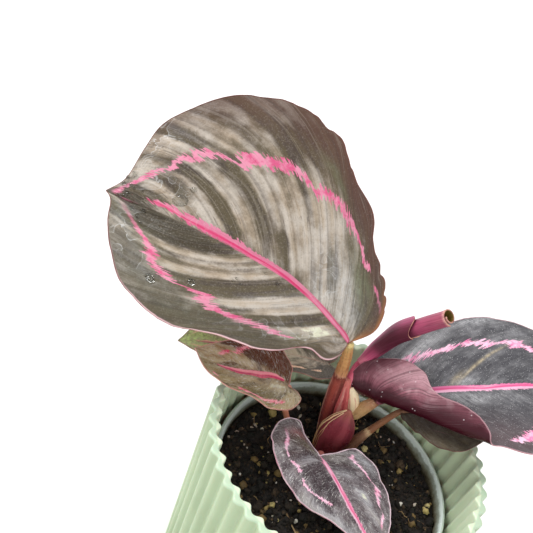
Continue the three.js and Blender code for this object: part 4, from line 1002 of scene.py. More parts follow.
def leaf_under(name, base, deep, pale, rib_colour, gloss=0.45, scale=1.0, folded=False):
    """folded: painted shade along the fold, toward the leaf's far part and at the nose, with a painted
    highlight streak near the nose.
    """
    base, deep, pale, rib_colour = shades(base, deep, pale, rib_colour)
    g = Nodes(name)
    u, w, side = g.attribute("vein")
    a, b, edge = g.attribute("spot")
    rib, _, _ = g.attribute("rib")
    _, past, _ = g.attribute("shade")
    spot = g.pack(a, b, 0.0)
    strand = g.pack(g.mul(u, VEINS_PER_LEAF * scale), g.mul(w, WIDTH_ACROSS * scale), side)
    streak = g.noise(strand, 1.0, 2.0, 0.6, stretch=(1.6, 0.12, 5.0))
    lines = g.near(g.noise(strand, 1.0, 1.0, 0.5, stretch=(0.7, 0.05, 5.0)), 0.5, 0.0, 0.03)
    cloudy = g.noise(spot, 0.12 / scale, 3.0, 0.5)
    grain = g.noise(spot, 1.4, 3.0, 0.7)
    colour = g.mix(deep, base, g.step(g.blend(cloudy, 0.5, streak, 0.6), 0.3, 0.62))
    colour = g.wash(colour, pale, g.step(g.noise(spot, 0.2 / scale, 2.0), 0.5, 0.72), 0.45)
    if folded:
        # painted shade on the curled flap along the fold, at its far part and at the nose; a painted
        # highlight streak
        wander = g.mul(g.sub(cloudy, 0.5), 0.5)
        dark = g.step(g.add(g.mul(past, 0.1), wander), 1.25, 0.75)
        far = g.mul(g.step(g.add(a, g.mul(wander, 16.0)), 2.0, 14.0), g.step(edge, 0.3, 6.0, 0.5, 1.0))
        nose = g.step(g.add(a, g.mul(wander, 6.0)), -9.5, -14.5)
        colour = g.mix(colour, deep, g.most(dark, g.most(far, g.mul(nose, 0.7))))
        nose_highlight = g.mul(g.step(g.size(a), 14.0, 5.0), g.step(g.add(past, g.mul(wander, 12.0)), 10.0, 18.0))
        colour = g.wash(colour, pale, nose_highlight, 0.7)
    colour = g.wash(colour, deep, lines, 0.5)
    colour = g.wash(colour, deep, g.step(grain, 0.5, 0.72), 0.3)
    colour = g.mix(colour, rib_colour, g.step(g.size(rib), 0.5, 1.3, 0.9, 0.0))
    lip = g.step(edge, 0.0, 0.5, 0.8, 0.0)
    colour = g.mix(colour, pale, g.mul(lip, g.step(a, -9.0, -6.0)) if folded else lip)
    specks = g.step(g.cells(spot, 0.35), 0.05, 0.12, 1.0, 0.0)
    colour = g.wash(colour, (0.8, 0.72, 0.74), specks, 0.5)
    relief = g.bump(g.blend(streak, 0.6, lines, 0.6), 0.4, 0.0004)
    return g.finish(colour, gloss, relief, Specular_IOR_Level=0.25)


def plain_edge(name, colour, second):
    g = Nodes(name)
    a, b, _ = g.attribute("spot")
    amount = g.noise(g.pack(a, b, 0.0), 0.25, 3.0)
    return g.finish(g.mix(srgb(*colour), srgb(*second), g.step(amount, 0.35, 0.65)), 0.4)


PINK, PALE_PINK = (198, 80, 122), (210, 134, 158)
TOPS = {
    "main_leaf": dict(
        light=(174, 157, 137), silver=(184, 174, 162), dark=(82, 72, 52), deep=(64, 54, 46), red=(80, 50, 40),
        green=(108, 114, 84), sheen_glare=(190, 190, 188), pink=PINK, pale=PALE_PINK, margin=(120, 66, 56),
        hem=(228, 190, 194), speckle=0.06, gloss=0.36, contrast=0.6, patchy=0.85, rough_bands=0.55,
        residue=0.6, outer_shade=0.35),
    "left_leaf": dict(
        light=(162, 134, 92), silver=(190, 174, 138), dark=(86, 60, 36), deep=(68, 38, 26), red=(96, 52, 34),
        green=(122, 112, 58), sheen_glare=(216, 206, 186), pink=(222, 84, 110), pale=(236, 158, 166),
        margin=(214, 150, 140), speckle=0.35, gloss=0.28, contrast=0.6, scale=0.5, flecks_and_glints=1.0,
        rib_change=-1.0),
    "front_leaf": dict(
        light=(122, 111, 112), silver=(146, 140, 142), dark=(70, 58, 62), deep=(50, 40, 44),
        red=(150, 84, 92), green=(112, 106, 80), sheen_glare=(198, 200, 204), pink=(228, 138, 172),
        pale=(244, 204, 222),
        margin=(250, 220, 230), speckle=0.8, gloss=0.26, scale=0.5, flecks_and_glints=0.8, margin_wide=0.6,
        rib_deep=(220, 100, 142)),
    "right_leaf": dict(
        light=(103, 102, 104), silver=(124, 123, 126), dark=(68, 67, 72), deep=(54, 53, 58), red=(96, 74, 76),
        green=(188, 172, 140), sheen_glare=(214, 214, 216), pink=(228, 116, 164), pale=(246, 198, 220),
        margin=(224, 178, 186), speckle=0.4, gloss=0.34, scale=0.8, flecks_and_glints=0.1, rib_deep=(218, 84, 136)),
    "lower_leaf": dict(
        light=(104, 92, 72), silver=(112, 102, 88), dark=(66, 56, 44), deep=(54, 44, 38), red=(84, 60, 50),
        green=(108, 104, 76), sheen_glare=(150, 144, 130), pink=PINK, pale=PALE_PINK, margin=(92, 60, 52),
        speckle=0.2, gloss=0.4, scale=0.5),
    # the rear leaf's bright green is painted light shining through its far part
    "rear_leaf": dict(
        light=(178, 162, 140), silver=(192, 180, 160), dark=(88, 78, 60), deep=(68, 58, 48), red=(96, 62, 54),
        green=(206, 238, 146), sheen_glare=(170, 170, 160), pink=(236, 190, 156), pale=(244, 206, 172),
        margin=(150, 110, 96), speckle=0.15, gloss=0.38, scale=0.6),
}
# Rows along the leaf, columns on each side of its midrib, slot, and the two colours of its edge.
BLADES = {
    "main_leaf": (204, 90, "blade", (140, 84, 74), (206, 150, 156)),
    "left_leaf": (110, 50, "blade_red", (206, 140, 130), (222, 180, 160)),
    "front_leaf": (122, 56, "blade_dark", (240, 206, 216), (226, 160, 180)),
    "right_leaf": (170, 80, "blade_dark", (230, 186, 192), (190, 120, 134)),
    "lower_leaf": (80, 36, "blade", (100, 64, 56), (120, 84, 70)),
    "rear_leaf": (84, 38, "blade", (150, 110, 96), (196, 160, 140)),
}
under_dark = leaf_under("leaf_under", (124, 66, 84), (82, 36, 50), (176, 120, 138), (150, 96, 100))
under_rose = leaf_under("leaf_under_rose", (144, 84, 98), (56, 8, 22), (202, 160, 168), (150, 92, 102),
                        gloss=0.34, scale=0.8, folded=True)
surfaces = {}
for leaf_name, (rows, halves, slot, edge_colour, edge_second) in BLADES.items():
    skins = [leaf_top(leaf_name + "_top", **TOPS[leaf_name]),
             under_rose if leaf_name == "right_leaf" else under_dark,
             plain_edge(leaf_name + "_edge", edge_colour, edge_second)]
    blade, surfaces[leaf_name] = leaf_object(leaf_name + "_blade", LEAVES[leaf_name], rows, halves,
                                             LOOKS[leaf_name], skins)
    dress(blade, leaf_name, slot)


# Limbs: stalks, sheaths and other swept bodies

def sweep(points, radii, rings, sides, relief=None):
    """Points, faces and fields of a round or flattened limb. A radius is one number or a pair, for across
    and through. relief(t, angle, length) is in millimetres."""
    centre, length = centripetal(points, rings)
    t = np.linspace(0, 1, rings)
    across, through_ = frame_along(centre)
    pairs = np.array([r if isinstance(r, (list, tuple)) else (r, r) for r in radii], float)
    at = np.linspace(0, 1, len(radii))
    size = np.stack([through(list(zip(at, pairs[:, k])), t) for k in range(2)], 1)
    angle = np.linspace(0, CIRCLE, sides, endpoint=False)
    tt, aa = np.meshgrid(t, angle, indexing="ij")
    extra = relief(tt, aa, length) if relief else 0 * tt
    rx = size[:, :1] + extra
    ry = size[:, 1:] + extra
    body = (centre[:, None, :] + rx[..., None] * np.cos(aa)[..., None] * across[:, None, :]
            + ry[..., None] * np.sin(aa)[..., None] * through_[:, None, :])
    points = body.reshape(-1, 3)
    fields = columns(tt, tt * length, aa)
    faces = [grid_faces(rings, sides, wrap=True)]
    for end, ring in ((0, 0), (1, rings - 1)):
        tip = len(points)
        points = np.vstack([points, centre[ring]])
        fields = np.vstack([fields, [end, end * length, 0]])
        loop = ring * sides + np.arange(sides)
        following = np.roll(loop, -1)
        fan = np.stack([np.full(sides, tip), loop, following, following], -1)
        faces.append(fan if end else fan[:, [0, 2, 1, 1]])
    return points, np.concatenate(faces), fields


def limb_object(name, points, radii, material, rings, sides, relief=None):
    points, faces, fields = sweep(points, radii, rings, sides, relief)
    return mend(mesh_object(name, points, faces, [material], attributes={"limb": fields}))


def limb_material(name, stops, spots, pale, wrinkle=0.0, gloss=0.4, stripe=0.3, marks=()):
    """stops: colours from foot to top. spots darken it, stripe is lengthwise streaking in pale. Colours
    are in display numbers. marks: lengthwise bands as (angle, half width, colour, amount, first and last
    place up the limb)."""
    spots, pale = shades(spots, pale)
    g = Nodes(name)
    t, length, angle = g.attribute("limb")
    place = g.place()
    cosine, sine = g.math("COSINE", angle), g.math("SINE", angle)
    along = g.node("VectorMath", {0: g.pack(cosine, sine, 0.0), 1: g.pack(0.0, 0.0, g.mul(length, 0.06))},
                   operation="ADD")
    streak = g.noise(along, 5.0, 3.0, 0.65)
    fine = g.noise(along, 14.0, 2.0, 0.6)
    cloud = g.noise(place, 160.0, 3.0, 0.6)
    speck = g.noise(place, 900.0, 2.0, 0.6)
    colour = g.ramp(g.add(t, g.mul(g.sub(streak, 0.5), 0.1)), stops)
    colour = g.wash(colour, spots, g.step(g.blend(streak, 0.6, cloud, 0.4), 0.5, 0.68), 0.6)
    colour = g.wash(colour, pale, g.step(fine, 0.55, 0.8), stripe)
    colour = g.wash(colour, pale, g.step(speck, 0.62, 0.75), stripe * 0.6)
    for middle, half, tone, amount, first, last in marks:
        wander = g.add(angle, g.mul(g.sub(streak, 0.5), 0.5))
        band = g.step(g.math("COSINE", g.sub(wander, middle)), math.cos(half), math.cos(half * 0.3))
        band = g.mul(band, g.mul(g.step(t, first, first + 0.05), g.step(t, last, last - 0.05)))
        colour = g.wash(colour, srgb(*tone), band, amount)
    rings = g.noise(g.pack(g.mul(length, 1.2), g.mul(sine, 0.5), g.mul(cosine, 0.5)), 1.0, 2.0, 0.6)
    relief = g.bump(g.blend(fine, 0.5, rings, wrinkle), 0.5, 0.0004)
    return g.finish(colour, g.add(gloss, g.mul(g.sub(cloud, 0.5), 0.2)), relief, Subsurface_Weight=0.05,
                    Subsurface_Scale=0.002, Specular_IOR_Level=0.3)


def wrinkles(start, count, depth, seed, ridges, ridge):
    """Cross wrinkles above start, and fine lengthwise ridges."""
    def relief(t, angle, length):
        fold = noise2(t * length * count, np.cos(angle) * 0.9 + 5, seed)
        lines = np.sin(angle * ridges + 1.5 * noise2(t * 6, angle * 0.4, seed + 1))
        uneven = noise2(t * length * 0.16, np.cos(angle) * 1.3 + 9, seed + 2)
        return depth * smooth(t, start, start + 0.06) * fold + ridge * lines + 0.12 * uneven
    return relief


# Stalks. Each row: piece, node it takes the place of, slot, material, points, radii, rings and sides of the
# mesh, and the numbers of its wrinkles.

STALKS = [
    ("main_leaf_stalk", "main_stalk", "stalk", limb_material(
        "main_stalk_skin",
        [(0.0, 80, 30, 30), (0.25, 106, 42, 44), (0.5, 136, 60, 58), (0.66, 156, 76, 66),
         (0.7, 116, 48, 42), (0.715, 200, 144, 116), (0.73, 192, 136, 94), (0.8, 196, 144, 92),
         (0.92, 206, 156, 100), (0.975, 206, 166, 108), (1.0, 204, 182, 124)],
        (90, 34, 34), (222, 162, 134), wrinkle=1.4, stripe=0.4, marks=[
            # the reddish band at angle 4.45 is a painted highlight
            (3.45, 0.34, (220, 162, 146), 0.75, 0.05, 0.7), (4.45, 0.4, (160, 72, 58), 0.5, 0.1, 0.68),
            (5.45, 0.45, (64, 22, 24), 0.6, 0.0, 0.7), (5.6, 0.35, (150, 92, 60), 0.6, 0.74, 0.98)]),
     [(-7.2, 19, 66), (-7.5, 19.3, 72), (-9, 20, 79), (-11, 20.8, 88), (-12.4, 21.8, 97), (-13.5, 22.5, 106),
      (-14.6, 22.4, 114), (-16.3, 21.5, 121.2)],
     [3.0, 3.1, 3.1, 2.9, 2.7, 2.4, 1.95, 1.75], 220, 48, (0.74, 1.3, 0.16, 3, 9, 0.06)),
    ("right_leaf_sheath", "right_stalk", "stalk", limb_material(
        "right_sheath_skin",
        [(0.0, 150, 52, 52), (0.3, 168, 62, 62), (0.55, 190, 84, 82), (0.8, 198, 96, 94),
         (0.93, 200, 104, 98), (1.0, 206, 118, 108)],
        (136, 42, 48), (240, 190, 170), wrinkle=0.2, stripe=0.7, marks=[
            # the two pale bands are painted highlights, the dark ones the sheath's stripes
            (3.6, 0.35, (222, 150, 140), 0.6, 0.1, 0.95), (4.5, 0.25, (232, 170, 160), 0.5, 0.1, 0.95),
            (5.0, 0.22, (150, 44, 56), 0.6, 0.0, 0.95), (5.7, 0.25, (150, 44, 56), 0.5, 0.0, 0.95)]),
     [(-3.4, 18.6, 67.4), (-4.0, 19.2, 74.4), (-5.7, 20, 83), (-7.2, 20.8, 90.1), (-8.2, 21.4, 95.6),
      (-9.2, 22.2, 99.8), (-10, 23, 103.4)],
     [(3.2, 2.6), (3.8, 2.8), (4.0, 2.9), (3.7, 2.8), (3.1, 2.6), (2.2, 2.2), (1.1, 1.3)], 160, 48,
     (2, 1, 0, 11, 14, 0.09)),
    ("right_leaf_petiole", None, "stalk", limb_material(
        "cream_petiole_skin", [(0.0, 206, 170, 124), (0.4, 232, 206, 164), (1.0, 240, 222, 190)],
        (206, 140, 126), (250, 238, 214), stripe=0.5, marks=[
            (4.3, 0.16, (214, 130, 124), 0.7, 0.0, 0.9), (5.3, 0.14, (206, 140, 120), 0.6, 0.0, 0.8)]),
     [(-4.4, 20.6, 86.4), (-3.7, 20.9, 90), (-3.9, 21.4, 93.8), (-5.4, 22, 97.4), (-7.6, 22.5, 100.8)],
     [0.8, 1.7, 2.3, 2.0, 0.9], 90, 36, (2, 1, 0, 13, 9, 0.06)),
    ("right_leaf_neck", None, "stalk", limb_material(
        "right_neck_skin",
        [(0.0, 190, 150, 104), (0.4, 200, 164, 116), (0.7, 182, 142, 98), (1.0, 160, 110, 84)],
        (120, 78, 50), (234, 208, 164), wrinkle=0.9, stripe=0.65),
     [(-4.4, 21.8, 84.6), (-3, 21.4, 88.6), (-1, 21.2, 92.2), (1, 21.8, 96.2), (2.9, 22.6, 99.6)],
     [2.0, 2.4, 2.5, 2.3, 1.9], 90, 44, (0.0, 0.8, 0.08, 17, 12, 0.08)),
    ("left_leaf_stalk", "left_stalk", "stalk", limb_material(
        "left_stalk_skin", [(0.0, 150, 86, 66), (0.5, 206, 134, 108), (1.0, 212, 140, 116)],
        (170, 96, 76), (232, 178, 150)),
     [(-10.8, 12.5, 66), (-11.2, 12.5, 72), (-17, 11.5, 77), (-23, 11.5, 82), (-26.5, 11.5, 88),
      (-28.5, 11.4, 95), (-28.9, 11, 99.5)],
     [1.2, 1.2, 1.1, 1.05, 1.05, 1.05, 1.15], 120, 28, (0.85, 1.2, 0.05, 21, 6, 0.03)),
    ("front_leaf_stalk", "front_stalk", "stalk", limb_material(
        "front_stalk_skin", [(0.0, 90, 40, 34), (1.0, 150, 84, 76)], (74, 34, 30), (200, 140, 120)),
     [(-5.2, 7.8, 66), (-5.6, 7.4, 72), (-6.8, 4.6, 78), (-8.5, -0.8, 87.2)],
     [1.4, 1.4, 1.3, 1.3], 120, 28, (0.8, 1.2, 0.05, 25, 6, 0.03)),
    ("lower_leaf_stalk", "lower_stalk", "stalk", limb_material(
        "lower_stalk_skin",
        [(0.0, 84, 50, 40), (0.35, 112, 74, 58), (0.46, 150, 112, 88), (0.505, 226, 194, 150),
         (0.53, 138, 90, 62), (0.8, 140, 94, 66), (1.0, 120, 82, 60)],
        (92, 56, 42), (196, 152, 116), wrinkle=0.4, stripe=0.55),
     [(2.6, 17.3, 66), (2.6, 17.5, 72), (3.6, 19.6, 77), (6.8, 22.2, 84.5), (7.4, 22.65, 85.6),
      (10.2, 24.7, 90.5), (13.4, 26.6, 95.5), (17.5, 27.6, 97.6)],
     [2.1, 2.1, 2.15, 1.75, 1.25, 1.15, 1.1, 0.6], 120, 28, (0.7, 1.0, 0.05, 29, 9, 0.08)),
    ("rear_leaf_stalk", "rear_stalk", "stalk_green", limb_material(
        "rear_stalk_skin", [(0.0, 150, 120, 80), (0.5, 206, 196, 150), (1.0, 212, 196, 156)],
        (160, 130, 96), (236, 230, 190)),
     [(-5, 23.2, 66), (-5, 23.3, 72), (-7, 26, 79), (-10, 29, 86), (-13.5, 32.7, 91), (-16.4, 35.1, 93.4)],
     [1.2, 1.2, 1.1, 1, 1, 1], 120, 28, (0.8, 1.2, 0.04, 33, 6, 0.03)),
]
for piece_name, node, slot, skin, route, radii, rings, sides, folds in STALKS:
    dress(limb_object(piece_name, route, radii, skin, rings, sides, wrinkles(*folds)), node, slot)


# The sheath round the foot of the stems, and its dry papery edge: strands that run down its left side

def sheath_relief(t, angle, length):
    lap = np.exp(-((np.mod(angle - (4.55 - 0.9 * t), CIRCLE) - 0.3) / 0.14) ** 2)
    lines = 0.05 * np.sin(angle * 26 + 2 * noise2(t * 3, angle, 41))
    return 0.35 * lap * smooth(1 - t, 0.0, 0.15) + lines + 0.1 * noise2(t * 5, angle * 0.8, 43)


BULB = [(-5.4, 13.3, 66), (-5.6, 13.3, 72.7), (-5.5, 13.3, 79.1), (-5.3, 13.3, 86.4), (-5.2, 13.3, 93.3),
        (-5.2, 13.3, 98.9)]
BULB_SIZE = [(3.2, 2.6), (4.5, 3.1), (5.7, 3.4), (6.2, 3.4), (4.7, 2.7), (0.7, 0.5)]
BULB_POINTS = 200
sheath_skin = limb_material(
    "sheath_skin",
    [(0.0, 74, 26, 28), (0.3, 104, 38, 44), (0.6, 122, 46, 56), (0.85, 128, 54, 64), (1.0, 160, 92, 80)],
    (76, 20, 30), (196, 116, 124), wrinkle=0.1, gloss=0.3, stripe=0.2, marks=[
        # the two pinker bands are painted highlight streaks
        (4.0, 0.35, (150, 66, 78), 0.5, 0.2, 0.95), (5.0, 0.3, (156, 74, 82), 0.5, 0.45, 0.97),
        (5.7, 0.35, (76, 20, 30), 0.5, 0.0, 0.95)])
paper_skin = limb_material(
    "sheath_paper", [(0.0, 176, 128, 92), (0.5, 214, 170, 128), (1.0, 226, 188, 148)], (150, 92, 66),
    (244, 222, 190), stripe=0.5)
dress(limb_object("stem_sheath_skin", BULB, BULB_SIZE, sheath_skin, 140, 72, sheath_relief),
      "stem_sheath", "sheath")
bulb_line, _ = centripetal(BULB, BULB_POINTS)
bulb_t = np.linspace(0, 1, BULB_POINTS)
bulb_across, bulb_through = (
    through([(k / (len(BULB) - 1), pair[side]) for k, pair in enumerate(BULB_SIZE)], bulb_t)
    for side in range(2))


def paper_strand(number, low, high, start, turn, thick, seed):
    """A strand on the sheath from low to high, that starts at an angle and turns as it rises."""
    t = np.linspace(low, high, 24)
    at = (t * (BULB_POINTS - 1)).astype(int)
    angle = start + turn * t + 0.1 * noise2(t * 9, t * 0 + 2, seed)
    lift = 1.02 + 0.04 * noise2(t * 12, t * 0 + 5, seed)
    route = bulb_line[at] + columns(
        bulb_across[at] * lift * np.cos(angle), bulb_through[at] * lift * np.sin(angle),
        0.5 * noise2(t * 8, t * 0, seed + 1))
    width = [(thick * (0.7 + 0.5 * abs(math.sin(7 * x + number))), 0.12) for x in t]
    return limb_object(f"sheath_paper_edge_{number + 1}", route.tolist(), width, paper_skin, 130, 10)


for number, strand in enumerate([
        (0.12, 0.985, 3.2, 0.25, 0.34, 81), (0.1, 0.97, 3.02, 0.1, 0.26, 83),
        (0.3, 0.95, 3.5, 0.3, 0.16, 85), (0.15, 0.75, 3.75, 0.1, 0.1, 87)]):
    dress(paper_strand(number, *strand), None, "sheath")


# Rolled leaf: its stalk, and a sheet wound round a curved line. The outer turn ends part way up.

ROLL_LINE = [(-7.6, 30.2, 106.6), (-6.2, 32, 110), (-3.5, 34.2, 116), (-0.1, 34.8, 124.5), (5.1, 33.2, 134),
             (10.7, 31, 144)]
ROLL_POINTS = 400
ROLL_ROWS, ROLL_COLUMNS = 120, 60                # rows along the roll, columns in one full turn
ROLL_INNER, ROLL_PITCH = 1.4, 0.95               # radius at the start, and its growth in one turn
ROLL_START = 0.6                                 # where the sheet's first edge points, in turns
ROLL_SHEET = 0.42


def roll_sheet(name, from_turn, to_turn, top, materials, opening):
    """The wound sheet. top(turn) says how far up the roll that part of the sheet reaches."""
    count = int((to_turn - from_turn) * ROLL_COLUMNS)
    line, length = centripetal(ROLL_LINE, ROLL_POINTS)
    turn = np.linspace(from_turn, to_turn, count)
    up = np.linspace(0, 1, ROLL_ROWS)[:, None] * top(turn)[None, :]
    turn = turn[None, :] + 0 * up
    place = up * (ROLL_POINTS - 1)
    centre, side, out = (
        np.stack([np.interp(place, np.arange(ROLL_POINTS), table[:, k]) for k in range(3)], -1)
        for table in (line, *frame_along(line)))
    angle = CIRCLE * (turn + ROLL_START)
    flare = 1 + 0.02 * np.sin(up * 9 + turn * 2) + 0.07 * smooth(up, 0.93, 1.0)
    taper = (0.62 + 0.38 * smooth(up, 0.0, 0.22)) * (1 + opening * smooth(up, 0.15, 0.55))
    layers = []
    for offset in (ROLL_SHEET / 2, -ROLL_SHEET / 2):
        radius = ((ROLL_INNER + ROLL_PITCH * turn) * flare * taper + offset)[..., None]
        layer = centre + radius * (np.cos(angle)[..., None] * side + np.sin(angle)[..., None] * out)
        layers.append(layer.reshape(-1, 3))
    fields = columns(up, turn, up * length)
    faces = grid_faces(ROLL_ROWS, count)
    total = ROLL_ROWS * count
    loop = np.concatenate([np.arange(count), np.arange(1, ROLL_ROWS) * count + count - 1,
                           (ROLL_ROWS - 1) * count + np.arange(count - 2, -1, -1),
                           np.arange(ROLL_ROWS - 2, 0, -1) * count])
    following = np.roll(loop, -1)
    rim = np.stack([loop, loop + total, following + total, following], -1)
    return mesh_object(name, np.concatenate(layers), np.concatenate([faces, faces[:, ::-1] + total, rim]),
                       materials, three_skins(faces, len(rim)), {"roll": np.concatenate([fields, fields])})


def roll_outside():
    g = Nodes("roll_outside")
    up, turn, length = g.attribute("roll")
    strand = g.pack(g.mul(turn, 16.0), g.mul(length, 0.08), 0.0)
    streak = g.noise(strand, 1.0, 3.0, 0.6)
    lines = g.near(g.noise(strand, 1.0, 1.0, 0.5, stretch=(0.8, 0.3, 1.0)), 0.5, 0.0, 0.05)
    cloud = g.noise(g.place(), 90.0, 3.0)
    # the dark band on the core just above the wrap's end is a painted shadow of the wrap
    inner_colour = g.ramp(up, [
        (0.0, 214, 110, 132), (0.5, 150, 62, 92), (0.62, 96, 34, 56), (0.68, 158, 66, 98),
        (0.85, 158, 72, 98), (0.965, 170, 84, 106), (1.0, 226, 170, 160)])
    outer_colour = g.ramp(up, [
        (0.0, 222, 132, 152), (0.1, 184, 78, 116), (0.22, 108, 34, 60), (0.45, 86, 26, 46),
        (0.6, 104, 38, 58)])
    # painted highlight on the lit flank of the wrap
    flank = g.mul(g.step(g.size(g.sub(turn, 1.84)), 0.17, 0.05), g.step(up, 0.55, 0.1, 0.35, 1.0))
    outer_colour = g.wash(outer_colour, srgb(228, 104, 158), flank, 0.85)
    colour = g.mix(inner_colour, outer_colour, g.step(turn, 1.2, 1.3))
    colour = g.wash(colour, srgb(96, 34, 58), g.step(g.blend(streak, 0.6, cloud, 0.4), 0.46, 0.7), 0.5)
    colour = g.wash(colour, srgb(202, 140, 160), g.step(streak, 0.55, 0.8), 0.3)
    # painted shade on the wrap's lower side
    belly_shade = g.mul(g.step(turn, 1.95, 2.08), g.step(up, 0.16, 0.3))
    colour = g.wash(colour, srgb(64, 16, 32), belly_shade, 0.6)
    colour = g.wash(colour, srgb(100, 40, 62), lines, 0.35)
    relief = g.bump(g.blend(streak, 1.0, lines, -0.5), 0.35, 0.0003)
    return g.finish(colour, 0.42, relief, Specular_IOR_Level=0.3)


def roll_inside():
    g = Nodes("roll_inside")
    up, turn, _ = g.attribute("roll")
    streak = g.noise(g.pack(g.mul(turn, 12.0), g.mul(up, 5.0), 0.0), 1.0, 3.0)
    return g.finish(g.mix(srgb(64, 48, 16), srgb(146, 118, 54), streak), 0.5)


def roll_edge():
    g = Nodes("roll_edge")
    amount = g.noise(g.place(), 300.0, 3.0)
    return g.finish(g.mix(srgb(206, 150, 130), srgb(150, 84, 78), g.step(amount, 0.4, 0.6)), 0.5)


def core_top(turn):
    return 1.0 - 0.012 * (turn - 0.6)


def wrap_top(turn):
    return 0.6 + 0.05 * np.minimum(1, (turn - 1.1) / 0.8) * (1 + np.cos(4 * np.pi * (turn - 1.9)))


roll_skins = [roll_outside(), roll_inside(), roll_edge()]
rolled_skin = limb_material(
    "rolled_stalk_skin", [(0.0, 226, 150, 140), (0.5, 206, 92, 116), (1.0, 170, 66, 100)], (176, 62, 96),
    (236, 160, 170))
dress(roll_sheet("rolled_leaf_core", 0, 1.25, core_top, roll_skins, 0.16), "rolled_leaf", "rolled_leaf")
dress(roll_sheet("rolled_leaf_wrap", 1.25, 2.2, wrap_top, roll_skins, 0.26), None, "rolled_leaf")
dress(limb_object(
    "rolled_leaf_stalk",
    [(-8.2, 22.6, 95), (-9.1, 23.3, 100.2), (-9, 26, 103.6), (-8.3, 28.8, 105.4), (-6.8, 31.4, 109)],
    [1.4, 1.5, 1.6, 1.9, 1.6], rolled_skin, 80, 32, wrinkles(2, 1, 0, 51, 6, 0.03)), None, "rolled_leaf")


# Pots

def revolve(profile, spokes, ripple=None):
    """A closed turned body from a fine profile of (radius, height) that starts and ends on the axis."""
    profile = np.asarray(profile, float)
    angle = np.linspace(0, CIRCLE, spokes, endpoint=False)
    r = profile[:, :1] + (ripple(profile, angle) if ripple else 0 * angle)
    r = np.where(profile[:, :1] <= 1e-6, 0, r)
    x, y = r * np.cos(angle), r * np.sin(angle)
    z = profile[:, 1:] + 0 * x
    return columns(x, y, z), grid_faces(len(profile), spokes, wrap=True)


def rounded(corners, steps):
    """A polyline with its inner corners rounded. corners: (x, z, radius)."""
    out = [corners[0][:2]]
    for before, (x, z, r), after in zip(corners, corners[1:], corners[2:]):
        p, q, n = (np.array(c, float) for c in (before[:2], (x, z), after[:2]))
        a = q + (p - q) / np.linalg.norm(p - q) * r
        b = q + (n - q) / np.linalg.norm(n - q) * r
        for t in np.linspace(0, 1, steps):
            out.append(tuple((1 - t) ** 2 * a + 2 * t * (1 - t) * q + t * t * b))
    out.append(corners[-1][:2])
    return out


def dense(profile, step):
    """Adds points so that no step of the profile is longer than step."""
    out = [profile[0]]
    for p, q in zip(profile, profile[1:]):
        n = max(int(np.ceil(np.hypot(q[0] - p[0], q[1] - p[1]) / step)), 1)
        for k in range(1, n + 1):
            out.append((p[0] + (q[0] - p[0]) * k / n, p[1] + (q[1] - p[1]) * k / n))
    return out


def turned_piece(name, profile, spokes, material, ripple=None):
    """A pot's piece. name is its node too."""
    points, faces = revolve(profile, spokes, ripple)
    dress(mend(mesh_object(name + "_body", points, faces, [material]), POT_MERGE), name, name)


POT_MERGE = 1e-6
COVER_HIGH, COVER_RIM, COVER_WALL = 96.0, 51.6, 2.9
COVER_LEAN = 0.0645          # how much wider the cover pot gets with its height
COVER_FOOT = COVER_RIM - COVER_LEAN * COVER_HIGH
COVER_FLOOR = 3.0
COVER_PROFILE = [
    (0, 0.0, 0), (COVER_FOOT - 3.4, 0.0, 0.6), (COVER_FOOT, 0.0, 0.8), (COVER_RIM, COVER_HIGH, 0.9),
    (COVER_RIM - COVER_WALL, COVER_HIGH, 0.9),
    (COVER_FOOT - COVER_WALL + COVER_LEAN * COVER_FLOOR, COVER_FLOOR, 1.2), (0, COVER_FLOOR, 0)]
RIBS, RIB_DEPTH = 48, 0.9


def ribs(profile, angle):
    fade = smooth(profile[:, :1], COVER_FOOT - 8.5, COVER_FOOT - 5.0)
    wave = np.cos(RIBS * angle)[None, :] - 0.1 * np.cos(2 * RIBS * angle)[None, :] + 0.1
    return RIB_DEPTH * fade * wave


def cover_skin():
    g = Nodes("cover_pot_mint")
    place = g.place()
    cloud = g.noise(place, 22.0, 3.0, 0.5)
    grain = g.noise(place, 900.0, 2.0, 0.6)
    fine = g.noise(place, 260.0, 3.0, 0.6, stretch=(1.0, 1.0, 0.15))
    x, y, z = g.split(place)
    outward = g.math("SQRT", g.add(g.mul(x, x), g.mul(y, y)))
    inside = g.step(g.sub(outward, g.mul(z, COVER_LEAN)), 0.044, 0.0432)
    colour = g.mix(srgb(159, 177, 141), srgb(169, 187, 151), g.step(cloud, 0.35, 0.65))
    colour = g.wash(colour, srgb(190, 205, 174), g.step(fine, 0.5, 0.8), 0.35)
    # painted highlight: the rim's top is paler
    colour = g.mix(colour, srgb(186, 208, 180), g.step(z, 0.0945, 0.0957))
    # painted light: the inner wall is made paler than the outer wall, to lift its shade
    colour = g.wash(colour, srgb(218, 232, 202), inside, 0.9)
    dirt = g.step(g.noise(place, 70.0, 4.0, 0.7), 0.6, 0.78)
    colour = g.wash(colour, srgb(150, 160, 128), dirt, 0.25)
    return g.finish(colour, g.add(0.42, g.mul(g.sub(cloud, 0.5), 0.12)),
                    g.bump(g.blend(grain, 0.3, fine, 1.0), 0.08, 0.0004),
                    Subsurface_Weight=0.08, Subsurface_Scale=0.004, Coat_Weight=0.08)


NURSERY_FLOOR, NURSERY_INSIDE_FLOOR, NURSERY_NECK = 3.3, 4.4, 73.4
NURSERY_FOOT, NURSERY_RIM, NURSERY_WALL = 33, 43.6, 1.1
SOIL_TOP, SOIL_LOW, SOIL_GAP = 72, 4.8, 0.4


def inside_nursery(z):
    """The nursery pot's inner radius at height z."""
    share = (NURSERY_RIM - NURSERY_FOOT) * (z - NURSERY_FLOOR) / (NURSERY_NECK - NURSERY_FLOOR)
    return NURSERY_FOOT + share - NURSERY_WALL


